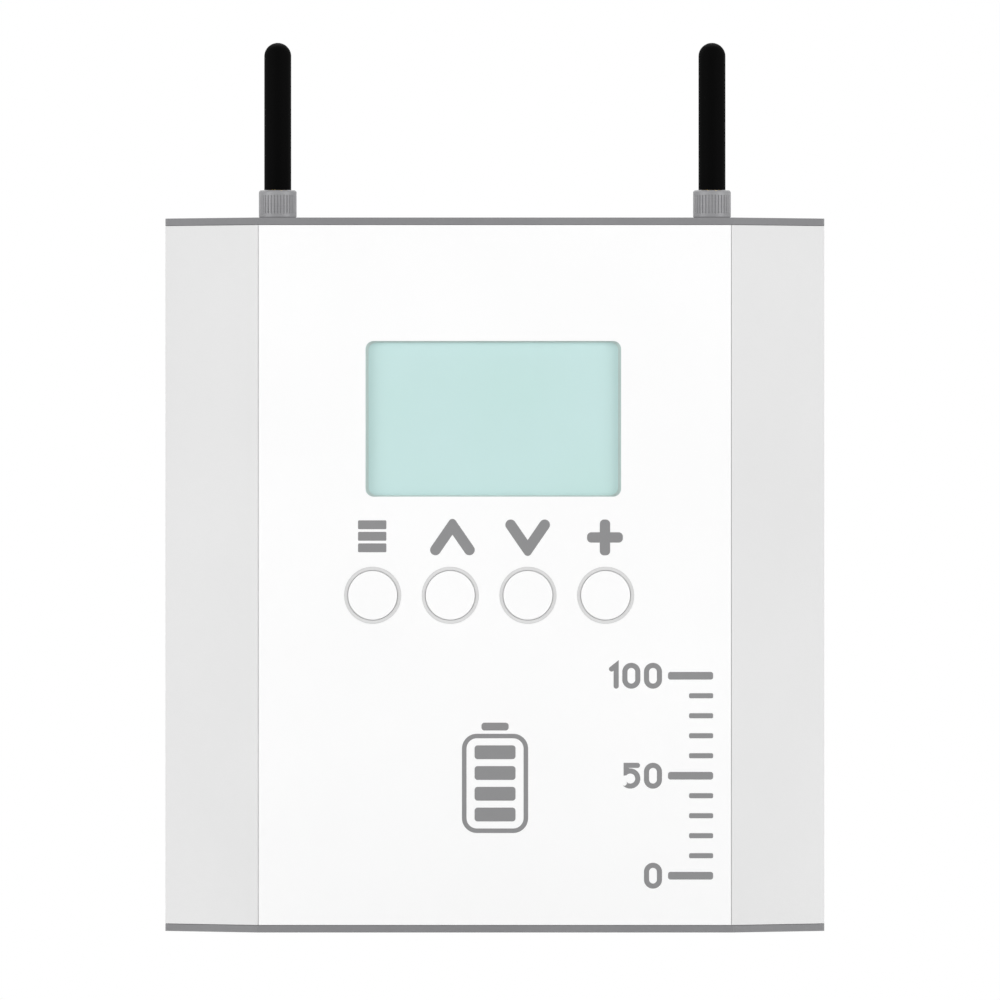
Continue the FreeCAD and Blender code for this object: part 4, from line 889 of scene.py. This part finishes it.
def makeModule(nodeName, edge, canTop, pads, pitch, aerialRows, thick, boardBevel, canBevel,
               inset, rise, root, pad, padGauge, padCorner):
    low, high, centre = boxOf(nodeName)
    face = low.y + thick
    board = softBlocks(nodeName + "_board", [(low, (high.x, face, high.z))], boardBevel,
                       "greenCircuitBoard")
    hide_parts(nodeName)
    left, right, bottom, top = low.x + edge, high.x - edge, low.z + edge, high.z - canTop
    lidFoot = high.y - rise - root
    softBlocks(nodeName + "_can", [((left, face, bottom), (right, high.y - rise, top)),
                                   ((left + inset, lidFoot, bottom + inset),
                                    (right - inset, high.y, top - inset))],
               canBevel, "tinnedShield")
    growBars(nodeName + "_pads", "brass", (pad, pad, padGauge),
             (centre.x, face - padGauge / 2, bottom + pitch * pads / 2), toWall, (2, pads),
             (high.x - low.x - pad, pitch), padCorner)
    if aerialRows:
        makeAerial(nodeName + "_aerial", aerialRows, low.x, high.x, face, high.z, **aerialLook)


def makeAerial(name, rows, left, right, face, z, width, pitch, inset, top, back, front):
    shape = bmesh.new()
    path = []
    for row in range(rows):
        ends = (left + inset, right - inset)
        path += [(x, z - top - row * pitch) for x in (reversed(ends) if row % 2 else ends)]
    addStroke(shape, path, width)
    thicken(shape, face - back, face + front)
    keepShape(name, shape, "copperWire")


# Cell: a rolled rim and a plus on its face, its two bars of unlike height
cellLook = dict(
    inset=1.8, wire=0.12, long=5.0, short=1.0, corner=0.3, along=0.08, across=0.1, sink=0.02)


def makeCellMarks(inset, wire, long, short, corner, along, across, sink):
    low, high, centre = boxOf("coin_cell")
    width = high.x - low.x - 2 * inset
    growRings("coin_cell_rim", "tinnedShield", (width, width, width / 2, wire),
              (centre.x, high.y, centre.z), toWall, 1, (0, 0, 1))
    for way, size in (("along", (long, short, along)), ("across", (short, long, across))):
        growBars("coin_cell_plus_" + way, "coreSteel", size,
                 (centre.x, high.y - sink, centre.z), toWall, corner=corner)


# Relays: two cases with a foot rim and a ribbed lid
relayLook = dict(
    width=15.5, rim=0.5, foot=2.2, bevel=0.4, lidDrop=0.3, ribs=6, pitch=2.2,
    rib=(10.85, 0.9, 0.6), ribCorner=0.4)


def makeRelays(width, rim, foot, bevel, lidDrop, ribs, pitch, rib, ribCorner):
    low, high, centre = boxOf("relays")
    blocks = []
    for left in (low.x, high.x - width):
        blocks.append(((left, high.y - foot, low.z), (left + width, high.y, high.z)))
        blocks.append(((left + rim, low.y + lidDrop, low.z + rim),
                       (left + width - rim, high.y - foot / 2, high.z - rim)))
    cases = softBlocks("relay_cases", blocks, bevel, "blueRelay")
    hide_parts("relays")
    growBars("relay_lid_ribs", "blueRelay", rib, (centre.x, low.y + rib[2], centre.z), toFront,
             (2, ribs), (high.x - low.x - width, pitch), ribCorner)


# Transformer: a stack of iron sheets, with the coil and its end flanges through it
transformerLook = dict(
    count=25, gauge=0.5, corner=0.4, core=15.0, width=24.0, tall=18.0, bend=3.0, wire=0.42,
    turns=17, flange=1.0, bevel=0.2, gap=0.1, inset=0.7)


def makeTransformer(count, gauge, corner, core, width, tall, bend, wire, turns, flange, bevel,
                    gap, inset):
    low, high, centre = boxOf("transformer")
    lengths = {"Width": high.x - low.x, "Height": high.y - low.y, "Thickness": gauge,
               "Corner": corner, "Step": (0, 0, (core - gauge) / (count - 1))}
    sheets = grow("transformer_core_sheets", sheetStack, "coreSteel",
                  (centre.x, centre.y, centre.z - gauge / 2), upright, lengths,
                  {"Count": count})
    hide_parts("transformer")
    inner, run = 2 * (inset + wire), tall - 2 * (flange + wire)
    growRings("transformer_winding", "copperWire",
              (width - inner, high.z - low.z - inner, bend, wire),
              (centre.x, high.y - tall / 2, centre.z), toFront, turns, (0, 0, run / (turns - 1)))
    left, right, level = centre.x - width / 2, centre.x + width / 2, core / 2 + gap
    flanges = [((left, start, bottom), (right, start + flange, top))
               for start in (high.y - flange, high.y - tall)
               for bottom, top in ((low.z, centre.z - level), (centre.z + level, high.z))]
    softBlocks("transformer_flanges", flanges, bevel, "blackMoulding")


# Capacitors: a sleeve with a rolled groove, and a bare top with a softened rim
capacitorLook = dict(
    radius=5.0, tall=18.0, foot=0.4, footRise=0.5, at=2.2, groove=0.5, bite=0.4, bed=0.2,
    shoulder=0.9, lip=0.4, lipRound=0.3, rim=0.6, gauge=0.2, edge=0.12, steps=48)


def makeCapacitors(radius, tall, foot, footRise, at, groove, bite, bed, shoulder, lip, lipRound,
                   rim, gauge, edge, steps):
    low, high, centre = boxOf("capacitors")
    top, lidTop = radius - rim, tall - gauge
    starts = [(centre.x, high.y, low.z + radius), (centre.x, high.y, high.z - radius)]
    profile = [(0, 0), (radius - foot, 0), (radius, footRise), (radius, at - groove),
               (radius - bite, at - bed), (radius - bite, at + bed), (radius, at + groove),
               (radius, tall - shoulder), (radius - lipRound, tall - lip), (top, lidTop),
               (0, lidTop)]
    cans = turnedShapes("capacitor_sleeves", profile, starts, (0, -1, 0), "blackMoulding",
                        steps)
    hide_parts("capacitors")
    lid = [(0, 0), (top, 0), (top, edge), (top - lipRound, gauge), (0, gauge)]
    turnedShapes("capacitor_tops", lid, [(x, y - lidTop, z) for x, y, z in starts], (0, -1, 0),
                 "tinnedShield", steps)


# Fuse: a glass tube, two end caps and the thin wire between them
fuseLook = dict(
    radius=2.6, wall=0.4, cap=5.0, capRound=0.3, lip=0.1, fit=0.02, wire=0.15, wireSteps=10,
    glassWall=0.6, gap=0.3)


def makeFuse(radius, wall, cap, capRound, lip, fit, wire, wireSteps, glassWall, gap):
    low, high, centre = boxOf("fuse")
    length = high.z - low.z
    tube, run = radius - wall, length - wall * 2
    bore, mouth = tube - glassWall, tube + fit
    foot, head = (centre.x, centre.y, low.z), (centre.x, centre.y, high.z)
    profile = [(bore, gap), (tube, gap), (tube, length - gap), (bore, length - gap), (bore, gap)]
    glass = turnedShapes("fuse_tube", profile, [foot], (0, 0, 1), "fuseGlass")
    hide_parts("fuse")
    profile = [(0, 0), (radius - capRound, 0), (radius, capRound), (radius, cap - lip),
               (mouth, cap), (mouth, wall), (0, wall)]
    for way, start, along in (("lower", foot, 1), ("upper", head, -1)):
        turnedShapes("fuse_" + way + "_cap", profile, [start], (0, 0, along), "springClip")
    turnedShapes("fuse_wire", [(0, wall), (wire, wall), (wire, wall + run), (0, wall + run)],
                 [foot], (0, 0, 1), "springClip", wireSteps)


# Driver chips in two columns on the main board
driverLook = dict(
    x=60.0, z=66.0, across=2, up=3, step=17.0, rise=21.0, size=(5.0, 9.8, 1.6), corner=0.3, legs=7,
    pitch=1.27, leg=(7.2, 0.4, 0.5))


def makeDrivers(x, z, across, up, step, rise, size, corner, legs, pitch, leg):
    face = boxOf("main_board")[0].y
    growBars("driver_chip_bodies", "blackMoulding", size, (x, face, z), toFront, (across, up),
             (step, rise), corner)
    for row in range(up):
        growBars("driver_chip_legs_" + str(row + 1), "tinnedShield", leg,
                 (x, face, z + (row - (up - 1) / 2) * rise), toFront, (across, legs),
                 (step, pitch))


# Screw terminals: the slotted screw in each well and the brass clamp in each wire hole
terminalLook = dict(
    way=7.5, radius=1.7, slot=0.5, head=0.9, well=6.4, clamp=(3.0, 0.5, 3.0), clampBack=6.0,
    clampRise=3.0)


def makeTerminalScrews(nodeName, way, radius, slot, head, well, clamp, clampBack, clampRise):
    low, high, centre = boxOf(nodeName)
    ways = round((high.x - low.x) / way)
    lengths = {"Radius": radius, "Slot": slot, "Thickness": head, "Step": (way, 0, 0)}
    grow(nodeName + "_screws", slottedHeads, "platedScrew", (centre.x, low.y + well, centre.z),
         toFront, lengths, {"Count": ways})
    growBars(nodeName + "_clamps", "brass", clamp,
             (centre.x, high.y - clampBack, low.z + clampRise), upright, (ways, 1), (way, 0))


# Headers and ribbon sockets: a row of moulded cells round their pins, on a spine
rowShape = dict(drop=0.1, cellRound=0.2, spineDepth=0.6, bevel=0.1, pinRound=0.15)
rowLooks = {
    "lcd_header": dict(count=(15, 1), gap=0.12, pin=0.64),
    "control_ribbon_socket": dict(count=(8, 2), gap=0.1, pin=0.6),
    "main_ribbon_socket": dict(count=(8, 2), gap=0.1, pin=0.6),
}


def makeSocketRow(nodeName, count, gap, pin, drop, cellRound, spineDepth, bevel, pinRound):
    low, high, centre = boxOf(nodeName)
    across, up, tall = (high.x - low.x) / count[0], (high.z - low.z) / count[1], high.y - low.y
    body = growBars(nodeName + "_cells", "blackMoulding",
                    (across - gap, up - gap, tall - drop * 2),
                    (centre.x, high.y - drop, centre.z), toFront, count, (across, up),
                    across * cellRound)
    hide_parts(nodeName)
    spine = Vector((gap, spineDepth, gap))
    softBlocks(nodeName + "_spine", [(low + spine, high - spine)], bevel, "blackMoulding")
    growBars(nodeName + "_pins", "brass", (pin, pin, tall), (centre.x, high.y, centre.z),
             toFront, count, (across, up), pin * pinRound)


# Small parts on the boards: each area is (board, centre x, centre z, width, height, seed)
chipLook = dict(pitch=4.6, empty=0.42, corner=0.1)
chipParts = {
    "bodies": ((1.24, 1.25, 0.6), "blackMoulding", "black_plastic"),
    "ends": ((2.0, 1.175, 0.552), "tinnedShield", "shield_tin"),
}
chipAreas = {
    "control_upper": ("control_board", 0.0, 69.0, 42.0, 34.0, 3),
    "control_left": ("control_board", -34.0, 38.5, 36.0, 20.0, 5),
    "control_right": ("control_board", 33.0, 28.0, 38.0, 44.0, 8),
    "main_middle": ("main_board", 10.0, 66.0, 52.0, 62.0, 13),
    "main_right": ("main_board", 58.0, -7.0, 34.0, 58.0, 21),
}


def makeChips(name, board, x, z, width, height, seed):
    low, high, centre = boxOf(board)
    face, turn = (high.y, toWall) if board == "control_board" else (low.y, toFront)
    counts = {"Across": round(width / chipLook["pitch"]) + 1,
              "Up": round(height / chipLook["pitch"]) + 1, "Empty": chipLook["empty"],
              "Seed": seed}
    for part, (size, finish, slot) in chipParts.items():
        lengths = {"Width": size[0], "Height": size[1], "Thickness": size[2],
                   "Corner": chipLook["corner"], "Area Width": width, "Area Height": height}
        grow(name + "_chip_" + part, scatteredChips, finish, (x, face, z), turn, lengths, counts)


makePlugRings(**plugLook)
print("plug rings made")
makeProcessor(**processorLook)
for moduleName, moduleLook in moduleLooks.items():
    makeModule(moduleName, **moduleLook, **moduleShape)
makeCellMarks(**cellLook)
print("control board dressed")
makeRelays(**relayLook)
makeTransformer(**transformerLook)
makeCapacitors(**capacitorLook)
makeFuse(**fuseLook)
makeDrivers(**driverLook)
for terminalName in ("supply_terminal", "relay_terminal", "sensor_terminal"):
    makeTerminalScrews(terminalName, **terminalLook)
print("main board dressed")
for rowName, rowLook in rowLooks.items():
    makeSocketRow(rowName, **rowLook, **rowShape)
for areaName, chipArea in chipAreas.items():
    makeChips(areaName, *chipArea)
print("sockets and small parts made")

# Stage: a pale floor that fades into the white surround, soft lamps and a long lens
floorLook = dict(
    height=-0.17, reach=3.0, tint=paint(244), evenRough=0.9, specular=0.0, fadeStart=0.35,
    fadeEnd=1.3)
worldLook = dict(level=0.5)
pureWhite = (1, 1, 1, 1)


# 1 where the camera sees the surround, also by reflection, and 0 where it only lights the part
def seenRay(tree):
    path = addNode(tree, "ShaderNodeLightPath").outputs
    through = calculate(tree, "MAXIMUM", path["Is Glossy Ray"], path["Is Transmission Ray"])
    seen = calculate(tree, "MAXIMUM", path["Is Camera Ray"], through)
    direct = calculate(tree, "LESS_THAN", path["Diffuse Depth"], 0.5)
    return calculate(tree, "MULTIPLY", seen, direct)


def floorFinish(tree, shader, look):
    away = addNode(tree, "ShaderNodeVectorMath", {"operation": "LENGTH"},
                   {0: objectPlace(tree, (1, 1, 0))}).outputs["Value"]
    fade = spread(tree, away, 0.0, 1.0, look["fadeStart"], look["fadeEnd"])
    white = result(tree, "ShaderNodeEmission", {"Color": pureWhite, "Strength": 1.0})
    clear = result(tree, "ShaderNodeBsdfTransparent")
    fading = blendShaders(tree, calculate(tree, "MULTIPLY", fade, seenRay(tree)),
                          shader.outputs[0], white)
    under = addNode(tree, "ShaderNodeNewGeometry").outputs["Backfacing"]
    giveOutput(tree, blendShaders(tree, under, fading, clear))


def makeFloor(look):
    mesh = bpy.data.meshes.new("floor")
    reach = look["reach"]
    corners = ((-reach, -reach), (reach, -reach), (reach, reach), (-reach, reach))
    mesh.from_pydata([(x, y, look["height"]) for x, y in corners], [], [(0, 1, 2, 3)])
    mesh.materials.append(newMaterial("paleFloor", floorFinish, look))
    floor = addObject("floor", mesh)


def makeWorld(look):
    world = bpy.data.worlds.new("studio")
    scene.world = world
    world.use_nodes = True
    tree = world.node_tree
    tree.nodes.clear()
    light, white = [result(tree, "ShaderNodeBackground", {"Color": pureWhite, "Strength": level})
                    for level in (look["level"], 1.0)]
    mixed = blendShaders(tree, seenRay(tree), light, white)
    addNode(tree, "ShaderNodeOutputWorld", inputs={"Surface": mixed})


# azimuth turns from the front towards +X, as seen from above
lampDistance = 5.0
lampLook = {
    "leftLamp": dict(azimuth=-56, elevation=10, wide=2.6, tall=1.6, power=92.0),
    "rightLamp": dict(azimuth=56, elevation=10, wide=2.6, tall=1.6, power=92.0),
    "rearLamp": dict(azimuth=180, elevation=48, wide=2.6, tall=2.6, power=98.0),
}


def makeLamp(name, azimuth, elevation, wide, tall, power):
    lamp = bpy.data.lights.new(name, "AREA")
    lamp.shape = "RECTANGLE"
    lamp.size, lamp.size_y = wide, tall
    lamp.energy = power
    holder = addObject(name, lamp)
    turn, rise = math.radians(azimuth), math.radians(elevation)
    away = Vector((math.sin(turn) * math.cos(rise), -math.cos(turn) * math.cos(rise),
                   math.sin(rise)))
    holder.location = away * lampDistance
    holder.rotation_euler = away.to_track_quat("Z", "Y").to_euler()
    holder.visible_camera = False


# The photograph is a square elevation: viewWidth across in the plane aimDepth before the wall.
cameraLook = dict(
    lens=1200.0, sensor=36.0, viewWidth=1 / 3, aimX=0.00172, aimZ=0.02495, aimDepth=0.05,
    clip=(0.5, 30.0))


def makeCamera(lens, sensor, viewWidth, aimX, aimZ, aimDepth, clip):
    camera = bpy.data.cameras.new("camera")
    camera.lens, camera.sensor_width = lens, sensor
    camera.clip_start, camera.clip_end = clip
    holder = addObject("camera", camera)
    holder.location = (aimX, -aimDepth - viewWidth * lens / sensor, aimZ)
    holder.rotation_euler = (math.pi / 2, 0, 0)
    scene.camera = holder


makeFloor(floorLook)
makeWorld(worldLook)
for lampName, lampValues in lampLook.items():
    makeLamp(lampName, **lampValues)
makeCamera(**cameraLook)
scene.view_settings.view_transform = "Standard"
print("stage made")
